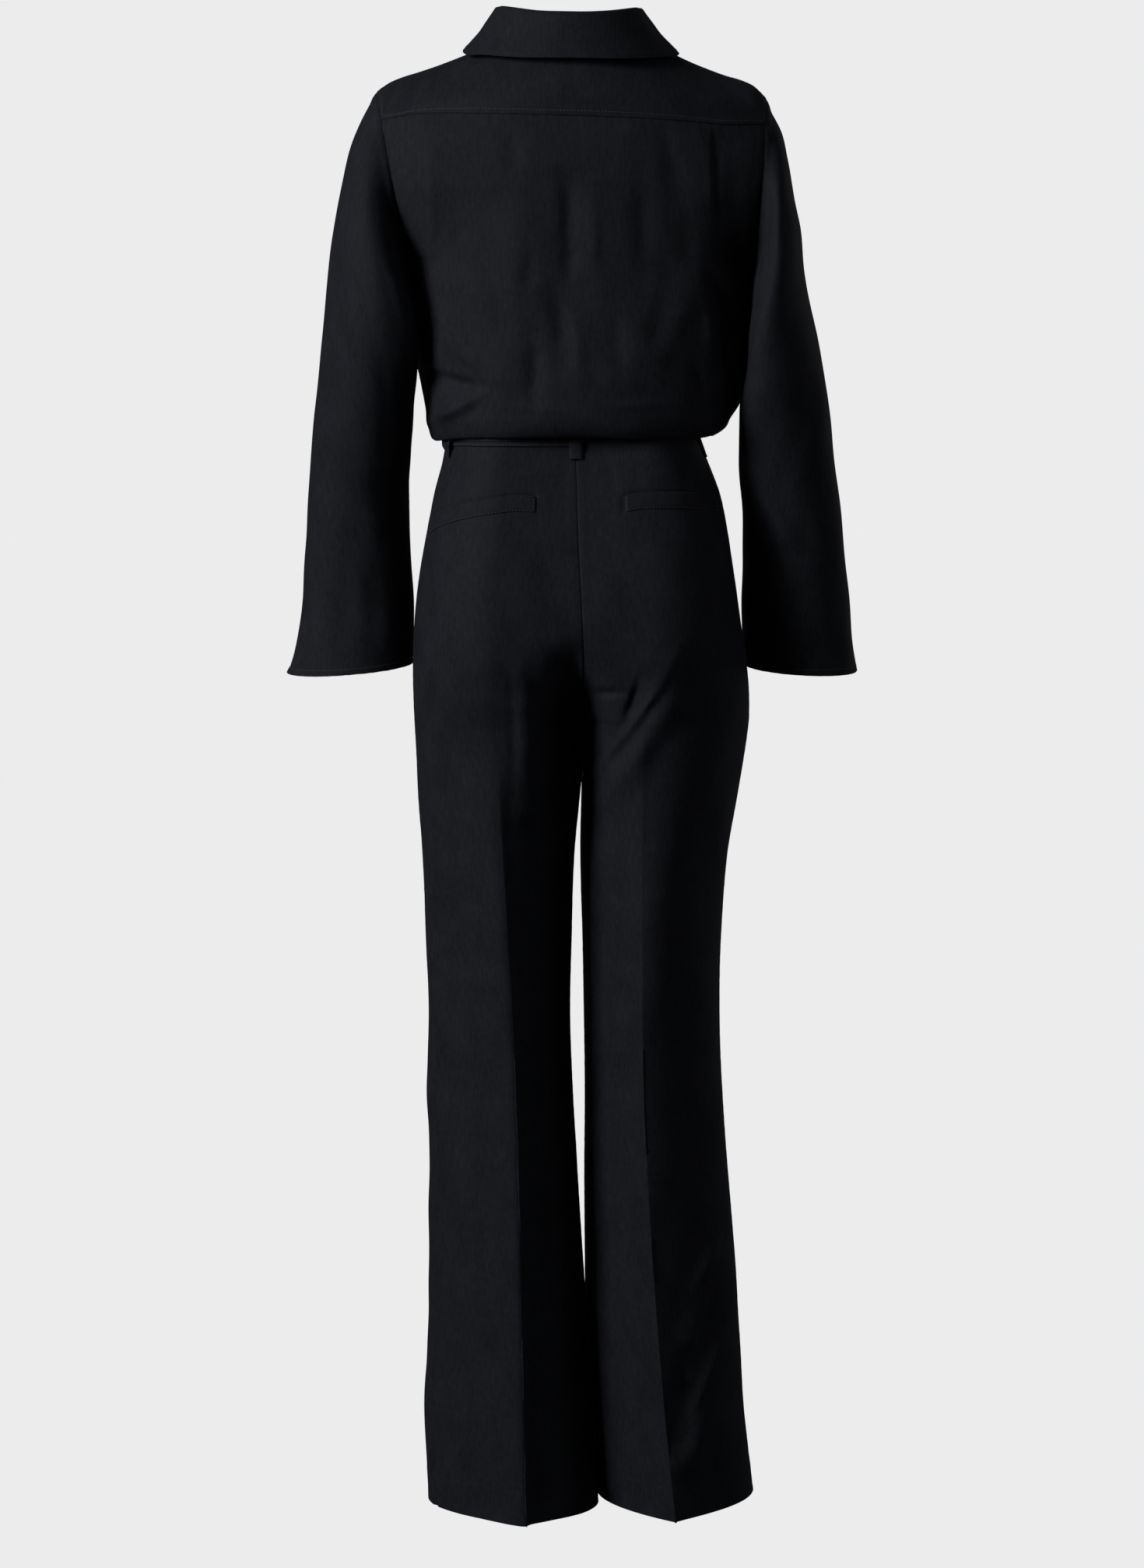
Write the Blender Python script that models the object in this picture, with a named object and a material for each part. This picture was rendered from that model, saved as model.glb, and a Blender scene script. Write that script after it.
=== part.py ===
"""A long-sleeved jumpsuit with a turned-down collar, worn and filled out, with no wearer in it.

Every piece of cloth is a thin wall with its own object. The frame: +Z up, the front faces -Y, the wearer's left is +X,
and the origin is in the middle of the neck opening, level with the points where the shoulders meet the collar.

A panel is a grid of points on the outside of the cloth. Its rows run down the body and its columns run to the right as
seen from outside. Panels that are sewn together use the same points along their seam, so that one outward direction
serves both, and each edge is then drawn back a little to leave the gap between two pieces.
"""
import math
from collections import namedtuple

import bmesh
import bpy
from mathutils import Vector

# ---------------------------------------------------------------- driving sizes, in metres
CLOTH = 0.0015             # wall of every panel
SEAM_GAP = 0.0003          # clear space between two pieces at a seam
LAY_GAP = 0.0005           # clear space under a piece that lies on a panel
STRAP = 0.0014             # wall of the belt, its loops, the placket and the welts

WAIST_Z = -0.360           # waist seam, hidden under the blouse of the bodice
CROTCH_Z = -0.660
CROTCH_CURVE_TOP = -0.555  # where the centre seam starts to turn under
THIGH_Z = -0.780           # where the slope from the seat to the inside of the thigh ends
CROTCH_TURN = 1.8          # how tightly the centre seam turns under: 1 is a straight slope, 2 an oval
INNER_SEAM_CLEAR = 0.0006  # half the space between the inside seams where they leave the crotch
CENTRE_DIP = 0.97          # depth at the centre seam, as a share of the depth at the crease
HEM_Z = -1.459
HEM_LIFT_CREASE, HEM_LIFT_SIDE = 0.004, 0.009    # the right hem hangs higher, most at its side seam
UNDERARM_Z = -0.216

OUTER_CELLS = 5            # columns from a side seam to the crease
INNER_CELLS = 4            # columns from the crease to a centre or inside seam
BACK_ARMHOLE_CELLS = 9     # armhole from the yoke seam down to the underarm
YOKE_ARMHOLE_CELLS = 5     # armhole over the shoulder, from the front yoke seam to the back one
FRONT_ARMHOLE_CELLS = 10   # armhole from the front yoke seam down to the underarm
YOKE_BACK_ANGLE = 48.0     # where the yoke seams meet the armhole, in degrees from its top
YOKE_FRONT_ANGLE = 30.0

# ---------------------------------------------------------------- sections, from the top down
Leg = namedtuple("Leg", "z outer_left crease_left inner_left inner_right crease_right outer_right back front sharp")
LEGS = [
    Leg(-0.360, 0.1205, 0.0600, -0.0030, -0.0030, -0.0660, -0.1200, 0.0810, -0.0910, 0.00),
    Leg(-0.385, 0.1230, 0.0610, -0.0035, -0.0035, -0.0670, -0.1240, 0.0840, -0.0930, 0.00),
    Leg(-0.410, 0.1275, 0.0630, -0.0040, -0.0040, -0.0680, -0.1340, 0.0910, -0.0960, 0.00),
    Leg(-0.440, 0.1355, 0.0660, -0.0050, -0.0050, -0.0700, -0.1455, 0.1010, -0.0990, 0.00),
    Leg(-0.475, 0.1425, 0.0690, -0.0060, -0.0060, -0.0730, -0.1530, 0.1110, -0.1020, 0.00),
    Leg(-0.515, 0.1495, 0.0720, -0.0080, -0.0080, -0.0760, -0.1590, 0.1200, -0.1040, 0.00),
    Leg(-0.555, 0.1545, 0.0750, -0.0100, -0.0100, -0.0780, -0.1650, 0.1250, -0.1040, 0.05),
    Leg(-0.595, 0.1570, 0.0760, -0.0115, -0.0115, -0.0780, -0.1710, 0.1240, -0.1030, 0.10),
    Leg(-0.630, 0.1575, 0.0760, -0.0115, -0.0115, -0.0760, -0.1750, 0.1170, -0.1020, 0.20),
    Leg(-0.660, 0.1565, 0.0740, -0.0110, -0.0110, -0.0730, -0.1755, 0.1090, -0.1010, 0.35),
    Leg(-0.672, 0.1560, 0.0733, -0.0110, -0.0110, -0.0725, -0.1744, 0.1072, -0.1007, 0.40),
    Leg(-0.700, 0.1545, 0.0720, -0.0112, -0.0098, -0.0710, -0.1705, 0.1040, -0.1000, 0.50),
    Leg(-0.740, 0.1530, 0.0705, -0.0075, -0.0095, -0.0700, -0.1645, 0.1010, -0.0980, 0.65),
    Leg(-0.800, 0.1490, 0.0670, -0.0020, -0.0085, -0.0690, -0.1545, 0.0980, -0.0950, 0.80),
    Leg(-0.880, 0.1460, 0.0620, 0.0005, -0.0105, -0.0690, -0.1490, 0.0950, -0.0920, 0.90),
    Leg(-0.960, 0.1440, 0.0575, 0.0020, -0.0120, -0.0690, -0.1480, 0.0930, -0.0900, 0.95),
    Leg(-1.040, 0.1440, 0.0545, -0.0010, -0.0130, -0.0710, -0.1510, 0.0920, -0.0880, 1.00),
    Leg(-1.120, 0.1440, 0.0520, -0.0055, -0.0125, -0.0750, -0.1570, 0.0920, -0.0880, 1.00),
    Leg(-1.200, 0.1440, 0.0505, -0.0105, -0.0130, -0.0800, -0.1640, 0.0930, -0.0880, 1.00),
    Leg(-1.280, 0.1460, 0.0490, -0.0150, -0.0140, -0.0860, -0.1690, 0.0940, -0.0890, 1.00),
    Leg(-1.360, 0.1495, 0.0475, -0.0200, -0.0185, -0.0930, -0.1740, 0.0950, -0.0900, 1.00),
    Leg(-1.420, 0.1475, 0.0460, -0.0240, -0.0225, -0.0990, -0.1800, 0.0955, -0.0905, 1.00),
    Leg(HEM_Z, 0.1460, 0.0450, -0.0265, -0.0250, -0.1030, -0.1840, 0.0960, -0.0910, 1.00),
]
CROTCH_ROWS = [-0.612, -0.643, -0.653, -0.6575, -0.665, -0.682]   # rows between those of LEGS, where the seam turns

Torso = namedtuple("Torso", "z left right back front side")
TORSO = [
    Torso(UNDERARM_Z, 0.1580, -0.1760, 0.1015, -0.1240, -0.006),
    Torso(-0.240, 0.1612, -0.1803, 0.1030, -0.1270, -0.015),
    Torso(-0.270, 0.1600, -0.1810, 0.1050, -0.1300, -0.022),
    Torso(-0.302, 0.1560, -0.1785, 0.1080, -0.1280, -0.021),
    Torso(-0.330, 0.1495, -0.1725, 0.1100, -0.1240, -0.016),
    Torso(-0.352, 0.1450, -0.1655, 0.1095, -0.1195, -0.010),
]
# The blouse turns under and back up to the waist seam. Each row: how far out it still is, from 0 at the seam to 1, and
# how much lower it hangs at the left side.
Blouse = namedtuple("Blouse", "z left back right front left_drop")
BLOUSE = [
    Blouse(-0.3660, 0.90, 0.97, 0.80, 0.95, 0.0005),
    Blouse(-0.3760, 0.83, 0.86, 0.685, 0.85, 0.0020),
    Blouse(-0.3830, 0.71, 0.68, 0.46, 0.68, 0.0035),
    Blouse(-0.3842, 0.54, 0.54, 0.36, 0.54, 0.0035),
    Blouse(-0.3790, 0.40, 0.42, 0.28, 0.42, 0.0015),
    Blouse(-0.3700, 0.31, 0.33, 0.20, 0.33, 0.0000),
    Blouse(-0.3625, 0.19, 0.20, 0.12, 0.20, 0.0000),
    Blouse(WAIST_Z, 0.00, 0.00, 0.00, 0.00, 0.0000),
]
# Centre back between the yoke seam and the underarm, and the front opening's edge below the neckline to the bust.
Spine = namedtuple("Spine", "y z")
SPINE = [Spine(0.0940, -0.079), Spine(0.0985, -0.112), Spine(0.1005, -0.145), Spine(0.1010, -0.180),
         Spine(0.1015, UNDERARM_Z)]
Opening = namedtuple("Opening", "x y z")
OPENING = [Opening(0.0600, -0.052, -0.027), Opening(0.0520, -0.076, -0.052), Opening(0.0390, -0.094, -0.079),
           Opening(0.0245, -0.106, -0.106), Opening(0.0100, -0.114, -0.131), Opening(0.0000, -0.118, -0.152),
           Opening(0.0000, -0.120, -0.170), Opening(0.0000, -0.122, -0.186), Opening(0.0000, -0.123, -0.202),
           Opening(0.0000, -0.124, UNDERARM_Z)]

# Sleeve rings, from the armhole to the hem. Outer and inner are the ring's two ends as seen from behind, and
# inner_back is how far the inner end lies behind the middle, where it hangs over the side of the body.
Ring = namedtuple("Ring", "outer_x outer_z inner_x inner_z middle_y half_depth inner_back")
SLEEVES = {
    "left": [
        Ring(0.1900, -0.052, 0.1580, -0.216, -0.006, 0.058, 0.000),
        Ring(0.1965, -0.062, 0.1597, -0.2185, -0.005, 0.060, 0.001),
        Ring(0.2070, -0.082, 0.1600, -0.2235, -0.002, 0.062, 0.006),
        Ring(0.2160, -0.106, 0.1588, -0.231, 0.004, 0.061, 0.015),
        Ring(0.2228, -0.137, 0.1566, -0.242, 0.010, 0.060, 0.024),
        Ring(0.2296, -0.175, 0.1530, -0.258, 0.015, 0.058, 0.031),
        Ring(0.2362, -0.217, 0.1500, -0.280, 0.017, 0.056, 0.031),
        Ring(0.2428, -0.275, 0.1500, -0.314, 0.015, 0.053, 0.026),
        Ring(0.2490, -0.335, 0.1547, -0.354, 0.008, 0.051, 0.016),
        Ring(0.2562, -0.395, 0.1590, -0.402, -0.003, 0.050, 0.007),
        Ring(0.2612, -0.445, 0.1605, -0.447, -0.014, 0.049, 0.000),
        Ring(0.2652, -0.500, 0.1596, -0.500, -0.023, 0.049, 0.000),
        Ring(0.2690, -0.550, 0.1575, -0.549, -0.029, 0.050, 0.000),
        Ring(0.2748, -0.587, 0.1572, -0.583, -0.032, 0.051, 0.000),
        Ring(0.2805, -0.609, 0.1582, -0.604, -0.033, 0.052, 0.000),
        Ring(0.2850, -0.6195, 0.1588, -0.610, -0.033, 0.052, 0.000),
    ],
    "right": [
        Ring(-0.1890, -0.0585, -0.1760, -0.216, -0.006, 0.058, 0.000),
        Ring(-0.1955, -0.071, -0.1780, -0.2185, -0.005, 0.060, 0.001),
        Ring(-0.2040, -0.090, -0.1784, -0.224, -0.002, 0.062, 0.006),
        Ring(-0.2100, -0.114, -0.1780, -0.232, 0.004, 0.061, 0.015),
        Ring(-0.2150, -0.142, -0.1772, -0.243, 0.009, 0.060, 0.024),
        Ring(-0.2220, -0.178, -0.1760, -0.259, 0.013, 0.058, 0.031),
        Ring(-0.2268, -0.219, -0.1745, -0.282, 0.015, 0.056, 0.031),
        Ring(-0.2376, -0.277, -0.1725, -0.318, 0.013, 0.053, 0.026),
        Ring(-0.2490, -0.337, -0.1632, -0.358, 0.008, 0.051, 0.020),
        Ring(-0.2580, -0.397, -0.1640, -0.405, -0.005, 0.050, 0.007),
        Ring(-0.2648, -0.447, -0.1685, -0.450, -0.016, 0.049, 0.000),
        Ring(-0.2718, -0.502, -0.1700, -0.503, -0.025, 0.049, 0.000),
        Ring(-0.2768, -0.552, -0.1685, -0.552, -0.031, 0.050, 0.000),
        Ring(-0.2807, -0.588, -0.1695, -0.585, -0.034, 0.051, 0.000),
        Ring(-0.2838, -0.610, -0.1715, -0.605, -0.035, 0.052, 0.000),
        Ring(-0.2850, -0.618, -0.1730, -0.6125, -0.035, 0.052, 0.000),
    ],
}
SLEEVE_HEM_SAG = 0.004     # the back of a sleeve's hem hangs lower than its ends

# The neckline: half an oval round the back of the neck, which drops towards the centre back.
NECK_HALF_WIDTH, NECK_HALF_DEPTH, NECK_DROP = 0.068, 0.062, 0.014
NECK_START_ANGLE = 24.8    # in front of the side, where the front yoke seam starts, in degrees
NECK_TURN_ANGLE = 20.0     # behind the side, where the armhole part of the yoke ends
SHOULDER_RISE = {"left": 0.0125, "right": 0.0190}    # how far each shoulder stands above a straight line
SOFTEN_PASSES = 6
BACK_ROUND = 0.012         # how far the upper back stands out
YOKE_SEAM_SLOPE = 0.030    # the yoke seam sits higher on the wearer's left

# The collar, by its place round the neck: stand height, fall's lift off the panel, and how far out its edge lies.
Fall = namedtuple("Fall", "where stand lean lift reach")
COLLAR = [
    Fall(0.00, 0.006, 0.0010, 0.0030, 0.046),
    Fall(0.07, 0.014, 0.0020, 0.0030, 0.044),
    Fall(0.16, 0.026, 0.0035, 0.0025, 0.036),
    Fall(0.25, 0.029, 0.0040, 0.0025, 0.041),
    Fall(0.50, 0.029, 0.0045, 0.0075, 0.024),
    Fall(0.75, 0.029, -0.0025, 0.0025, 0.039),
    Fall(0.84, 0.026, 0.0000, 0.0025, 0.036),
    Fall(0.93, 0.014, 0.0010, 0.0030, 0.044),
    Fall(1.00, 0.006, 0.0010, 0.0030, 0.046),
]
COLLAR_TURN = 0.0042       # across the fold at the collar's top, inside
COLLAR_FRONT_ROWS = 5      # rows of the front opening that the collar follows
COLLAR_TILT = 0.018        # the collar sits a little higher on the wearer's left

# Largest folds: a soft ridge, or a trough where its height is below zero, from one place to another on a panel.
Fold = namedtuple("Fold", "face x1 z1 x2 z2 width height")
FOLDS = [
    Fold("back", -0.136, -0.084, -0.134, -0.200, 0.010, 0.0028),    # right tuck under the yoke
    Fold("back", 0.140, -0.084, 0.136, -0.230, 0.012, 0.0018),      # left tuck
    Fold("back", 0.008, -0.150, 0.006, -0.205, 0.016, -0.0030),
    Fold("back", 0.006, -0.235, 0.012, -0.300, 0.018, -0.0030),
    Fold("back", 0.036, -0.285, 0.040, -0.345, 0.018, -0.0035),
    Fold("back", -0.140, -0.255, -0.136, -0.300, 0.022, 0.0045),
    Fold("back", -0.148, -0.195, -0.160, -0.265, 0.016, -0.0035),
    Fold("back", 0.132, -0.318, 0.098, -0.340, 0.016, -0.0045),
    Fold("back", 0.100, -0.300, 0.126, -0.368, 0.018, 0.0030),
    Fold("front", 0.060, -0.260, 0.050, -0.345, 0.018, -0.0035),
    Fold("front", -0.072, -0.250, -0.060, -0.350, 0.020, -0.0040),
    Fold("front", -0.110, -0.290, -0.105, -0.360, 0.016, 0.0030),
    Fold("front", 0.110, -0.300, 0.112, -0.360, 0.016, 0.0030),
    Fold("seat", -0.096, -0.640, -0.030, -0.735, 0.014, 0.0055),    # drag line from the crotch, right
    Fold("seat", -0.068, -0.640, -0.040, -0.690, 0.012, -0.0045),
    Fold("seat", 0.050, -0.645, 0.044, -0.745, 0.013, 0.0040),      # upright fold, left
    Fold("seat", 0.027, -0.630, 0.024, -0.700, 0.012, -0.0035),
    Fold("seat", 0.120, -1.120, 0.090, -1.260, 0.018, 0.0035),
    Fold("seat", -0.145, -1.205, -0.118, -1.275, 0.014, 0.0045),
    Fold("seat", -0.155, -1.300, -0.112, -1.400, 0.016, 0.0050),
    Fold("seat", -0.113, -1.330, -0.108, -1.370, 0.014, -0.0035),
    Fold("lap", -0.040, -0.640, -0.100, -0.600, 0.016, -0.0045),
    Fold("lap", 0.034, -0.640, 0.092, -0.605, 0.016, -0.0045),
    Fold("lap", 0.110, -1.180, 0.090, -1.290, 0.018, 0.0035),
    Fold("lap", -0.130, -1.250, -0.110, -1.360, 0.018, 0.0035),
]

# Pieces on the trousers
BELT_HEIGHT = 0.0140
BELT_LEFT_Z, BELT_RIGHT_Z = -0.3860, -0.3750     # the belt's middle on the left, and where it rides up on the right
LOOP_WIDTH, LOOP_TOP_Z, LOOP_BOTTOM_Z = 0.013, -0.3665, -0.4050
WELT_HEIGHT = 0.0130
PLACKET_HALF_WIDTH, PLACKET_TOP_Z = 0.015, -0.158


# ---------------------------------------------------------------- smooth curves through the tables
def mix(a, b, share):
    return a + (b - a) * share


def ramp(value, start, end):
    """0 at start and before it, 1 at end and past it, with a smooth turn between."""
    share = min(max((value - start) / (end - start), 0.0), 1.0)
    return share * share * (3.0 - 2.0 * share)


def smooth_value(keys, values, key):
    """The value at a key, on a smooth curve through the rows. The keys all rise or all fall."""
    last = len(keys) - 1
    falling = keys[-1] < keys[0]
    i = 0
    while i < last - 1 and (key < keys[i + 1] if falling else key > keys[i + 1]):
        i += 1
    step = keys[i + 1] - keys[i]
    share = min(max((key - keys[i]) / step, 0.0), 1.0)

    def slope(k):
        low, high = max(k - 1, 0), min(k + 1, last)
        return (values[high] - values[low]) / (keys[high] - keys[low])

    square, cube = share * share, share ** 3
    return (values[i] * (2 * cube - 3 * square + 1) + values[i + 1] * (3 * square - 2 * cube)
            + slope(i) * step * (cube - 2 * square + share) + slope(i + 1) * step * (cube - square))


def column(rows, name, key, by="z"):
    return smooth_value([getattr(row, by) for row in rows], [getattr(row, name) for row in rows], key)


def fold_height(face, point):
    """How far the folds of one face push a point of the cloth out or in."""
    total = 0.0
    for fold in FOLDS:
        if fold.face != face:
            continue
        run_x, run_z = fold.x2 - fold.x1, fold.z2 - fold.z1
        length = math.hypot(run_x, run_z)
        along = ((point.x - fold.x1) * run_x + (point.z - fold.z1) * run_z) / length
        aside = ((point.x - fold.x1) * run_z - (point.z - fold.z1) * run_x) / length
        past = max(-along, along - length, 0.0)
        total += fold.height * math.exp(-(aside * aside + past * past) / fold.width ** 2)
    return total


# ---------------------------------------------------------------- trousers
def centre_seam_y(face, z):
    """The centre seam in side view: down the back or front, then under to the crotch. Below that, the inside seams
    of the two legs pass one behind the other."""
    peak = column(LEGS, "back" if face > 0 else "front", z)
    drop = (CROTCH_CURVE_TOP - z) / (CROTCH_CURVE_TOP - CROTCH_Z)
    if drop <= 0.0:
        return CENTRE_DIP * peak
    return CENTRE_DIP * peak * (1.0 - min(drop, 1.0) ** CROTCH_TURN) ** (1.0 / CROTCH_TURN)


def leg_point(side, face, z, place):
    """A point of one trouser half. place is 0 at the centre or inside seam, 1 at the crease and 2 at the side seam."""
    crease = column(LEGS, "crease_" + side, z)
    sharp = column(LEGS, "sharp", z)
    back, front = column(LEGS, "back", z), column(LEGS, "front", z)
    peak = back if face > 0 else front
    if place > 1.0:
        outer = column(LEGS, "outer_" + side, z)
        seam_angle = 17.0 * ramp(z, -0.80, -1.04) if side == "left" else 0.0
        angle = math.radians(90.0 - (place - 1.0) * (90.0 - face * seam_angle))
        if angle < 0.0:
            angle, peak = -angle, back
        width = mix(math.cos(angle), math.cos(angle) ** 2, sharp)
        return Vector((mix(crease, outer, width), peak * math.sin(angle), z))
    clear = INNER_SEAM_CLEAR * (ramp(z, CROTCH_Z, -0.665) - ramp(z, -0.672, -0.700))
    inner = column(LEGS, "inner_" + side, z) + (clear if side == "left" else -clear)
    seam_y = centre_seam_y(face, z) if z > CROTCH_Z else 0.0
    slope_y = CENTRE_DIP * peak * (1.0 - ramp(z, CROTCH_CURVE_TOP, THIGH_Z))
    seam_y = mix(seam_y, slope_y, ramp(place, 0.0, 0.6))
    stagger = 0.015 * ramp(z, CROTCH_Z, -0.72)
    seam_y += stagger if side == "left" else -stagger
    angle = math.radians(90.0 * place)
    hip = 1.0 - ramp(z, -0.60, -0.74)
    width = mix(mix(math.cos(angle), math.cos(angle) ** 2, sharp), 1.0 - place, hip)
    depth = mix(math.sin(angle), 1.0 - (1.0 - place) ** 2, hip)
    return Vector((mix(crease, inner, width), mix(seam_y, peak, depth), z))


def half_places():
    """Column places of a trouser half, from the side seam to the centre seam."""
    return [2.0 - k / OUTER_CELLS for k in range(OUTER_CELLS)] + [1.0 - k / INNER_CELLS for k in range(INNER_CELLS + 1)]


def leg_grid(side, face):
    heights = sorted([row.z for row in LEGS] + CROTCH_ROWS, reverse=True)
    places = half_places()
    if (side == "left") != (face > 0):
        places = places[::-1]
    name = "seat" if face > 0 else "lap"
    grid = []
    for z in heights:
        row = []
        for place in places:
            point = leg_point(side, face, z, place)
            away_from_seam = ramp(place, 0.0, 0.35) * ramp(place, 2.0, 1.75)
            point.y += face * fold_height(name, point) * away_from_seam
            if side == "right":
                point.z += mix(HEM_LIFT_CREASE, HEM_LIFT_SIDE, max(place - 1.0, 0.0)) * ramp(z, -1.36, HEM_Z)
            row.append(point)
        grid.append(row)
    return grid


# ---------------------------------------------------------------- bodice
def stations():
    """Column places across half a bodice: 1 at the side, 0 at the centre, in step with the trousers' columns."""
    crease = 0.51
    outer = [mix(crease, 1.0, math.cos(math.radians(90.0 * k / OUTER_CELLS))) for k in range(OUTER_CELLS)]
    return outer + [crease * (1.0 - k / INNER_CELLS) for k in range(INNER_CELLS + 1)]


def armhole(side, angle):
    """The armhole seam, 0 degrees at the shoulder, 90 at the back and 180 at the underarm."""
    ring = SLEEVES[side][0]
    return ring_point(ring, angle)


def ring_point(ring, angle):
    """A point of a sleeve's oval ring, 0 degrees at its outer end, 90 at the back and 180 at its inner end."""
    turn = math.radians(angle)
    outer_share = 0.5 + 0.5 * math.cos(turn)
    return Vector((mix(ring.inner_x, ring.outer_x, outer_share),
                   ring.middle_y + ring.half_depth * math.sin(turn) + ring.inner_back * (1.0 - outer_share),
                   mix(ring.inner_z, ring.outer_z, outer_share)))


def bow(station, roundness):
    """How deep the cloth is at a station, from 1 at the centre to 0 at the side. roundness 1 closes the ring."""
    open_curve = 1.0 - station ** 2.4
    ring_curve = (1.0 - station ** 2.2) ** (1.0 / 2.2)
    return mix(open_curve, ring_curve, roundness)


def upper_point(centre, edge, station, roundness):
    """A point of a row that runs from the centre or the opening's edge to the armhole."""
    return Vector((mix(centre.x, edge.x, station), mix(edge.y, centre.y, bow(station, roundness)),
                   mix(centre.z, edge.z, station ** 3)))


def shoulder_rise(share, neck_angle):
    """Rise above the straight line, for the share of the way out and the place round the neck it starts from."""
    rise = mix(SHOULDER_RISE["right"], SHOULDER_RISE["left"], 0.5 + 0.5 * math.cos(math.radians(neck_angle)))
    return rise * share ** 3 * (1.0 - share ** 10)


def torso_point(side, face, z, station):
    """A point of the closed ring round the body between the underarm and the blouse."""
    edge_x, side_y = column(TORSO, side, z), column(TORSO, "side", z)
    peak = column(TORSO, "back" if face > 0 else "front", z)
    centre_x = -0.003 * ramp(z, UNDERARM_Z, WAIST_Z)
    return Vector((mix(centre_x, edge_x, station), mix(side_y, peak, bow(station, 1.0)), z))


def lower_rows(side, face):
    """The rows of half a bodice below the underarm, from the side to the centre, down to the waist seam."""
    name = "back" if face > 0 else "front"
    rows = []
    for section in TORSO[1:]:
        rows.append([torso_point(side, face, section.z, station) for station in stations()])
    blouse = rows[-1]
    waist = [leg_point(side, face, WAIST_Z, place) for place in half_places()]
    for section in BLOUSE:
        row = []
        for station, outside, seam in zip(stations(), blouse, waist):
            share = mix(getattr(section, name), getattr(section, side), station ** 4)
            drop = section.left_drop * station ** 4 if side == "left" else 0.0
            row.append(Vector((mix(seam.x, outside.x, share), mix(seam.y, outside.y, share), section.z - drop)))
        rows.append(row)
    for row in rows[:-5]:
        for point, station in zip(row, stations()):
            point.y += face * fold_height(name, point) * ramp(station, 1.0, 0.92)
    return rows


def back_upper_row(share, angle):
    """One row of the back above the underarm, from the left armhole to the right one."""
    keys = [k / (len(SPINE) - 1) for k in range(len(SPINE))]
    centre = Vector((0.0, smooth_value(keys, [s.y for s in SPINE], share), mix(SPINE[0].z, UNDERARM_Z, share)))
    left = [upper_point(centre, armhole("left", angle), s, share) for s in stations()]
    right = [upper_point(centre, armhole("right", angle), s, share) for s in stations()[::-1]]
    row = left + right[1:]
    for point, station in zip(row, stations() + stations()[::-1][1:]):
        point.z += YOKE_SEAM_SLOPE * point.x * (1.0 - share) * ramp(station, 1.0, 0.75)
        point.y += fold_height("back", point) * ramp(share, 0.0, 0.12) * ramp(station, 1.0, 0.92)
    return row


def soften(rows, middle_row, places):
    """Evens out the change of slope at the underarm. places holds 0 to 1 for each column, 0 where it must stay."""
    for _ in range(SOFTEN_PASSES):
        for i in range(middle_row - 4, middle_row + 4):
            for above, point, below, place in zip(rows[i - 1], rows[i], rows[i + 1], places):
                share = (above.z - point.z) / (above.z - below.z)
                point.y += 0.5 * place * (mix(above.y, below.y, share) - point.y)


def back_grid():
    cells = BACK_ARMHOLE_CELLS
    rows = [back_upper_row(k / cells, mix(YOKE_BACK_ANGLE, 180.0, k / cells)) for k in range(cells + 1)]
    for left, right in zip(lower_rows("left", 1), lower_rows("right", 1)):
        rows.append(left + right[::-1][1:])
    half = [ramp(station, 1.0, 0.8) for station in stations()]
    soften(rows, cells, half + half[::-1][1:])
    return rows


def front_grid(side):
    """Rows from the opening's edge to the armhole, as seen from outside."""
    sign = 1.0 if side == "left" else -1.0
    rows = []
    for k in range(FRONT_ARMHOLE_CELLS + 1):
        share = k / FRONT_ARMHOLE_CELLS
        edge = armhole(side, -mix(YOKE_FRONT_ANGLE, 180.0, share))
        start = OPENING[k - 1] if k else neck_point(-NECK_START_ANGLE)
        centre = Vector((sign * start.x, start.y, start.z))
        row = []
        for station in stations()[::-1]:
            point = upper_point(centre, edge, station, share)
            rise = shoulder_rise(station, -NECK_START_ANGLE if side == "left" else 180.0 + NECK_START_ANGLE)
            straight = centre.lerp(edge, station) + Vector((0.0, 0.0, rise))
            point = straight.lerp(point, ramp(share, 0.0, 0.45))
            point.y -= fold_height("front", point) * ramp(share, 0.5, 0.8) * ramp(station, 1.0, 0.92)
            row.append(point)
        rows.append(row)
    rows += [row[::-1] for row in lower_rows(side, -1)]
    soften(rows, FRONT_ARMHOLE_CELLS, [ramp(station, 1.0, 0.8) for station in stations()[::-1]])
    return rows if side == "left" else [row[::-1] for row in rows]


# ---------------------------------------------------------------- yoke, collar and sleeves
def neck_point(angle):
    """The neckline, 0 degrees at the left side of the neck and 90 at the centre back."""
    turn = math.radians(angle)
    return Vector((NECK_HALF_WIDTH * math.cos(turn), NECK_HALF_DEPTH * math.sin(turn),
                   -NECK_DROP * max(math.sin(turn), 0.0) ** 2 + 0.0145 * min(math.sin(turn), 0.0)))


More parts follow.
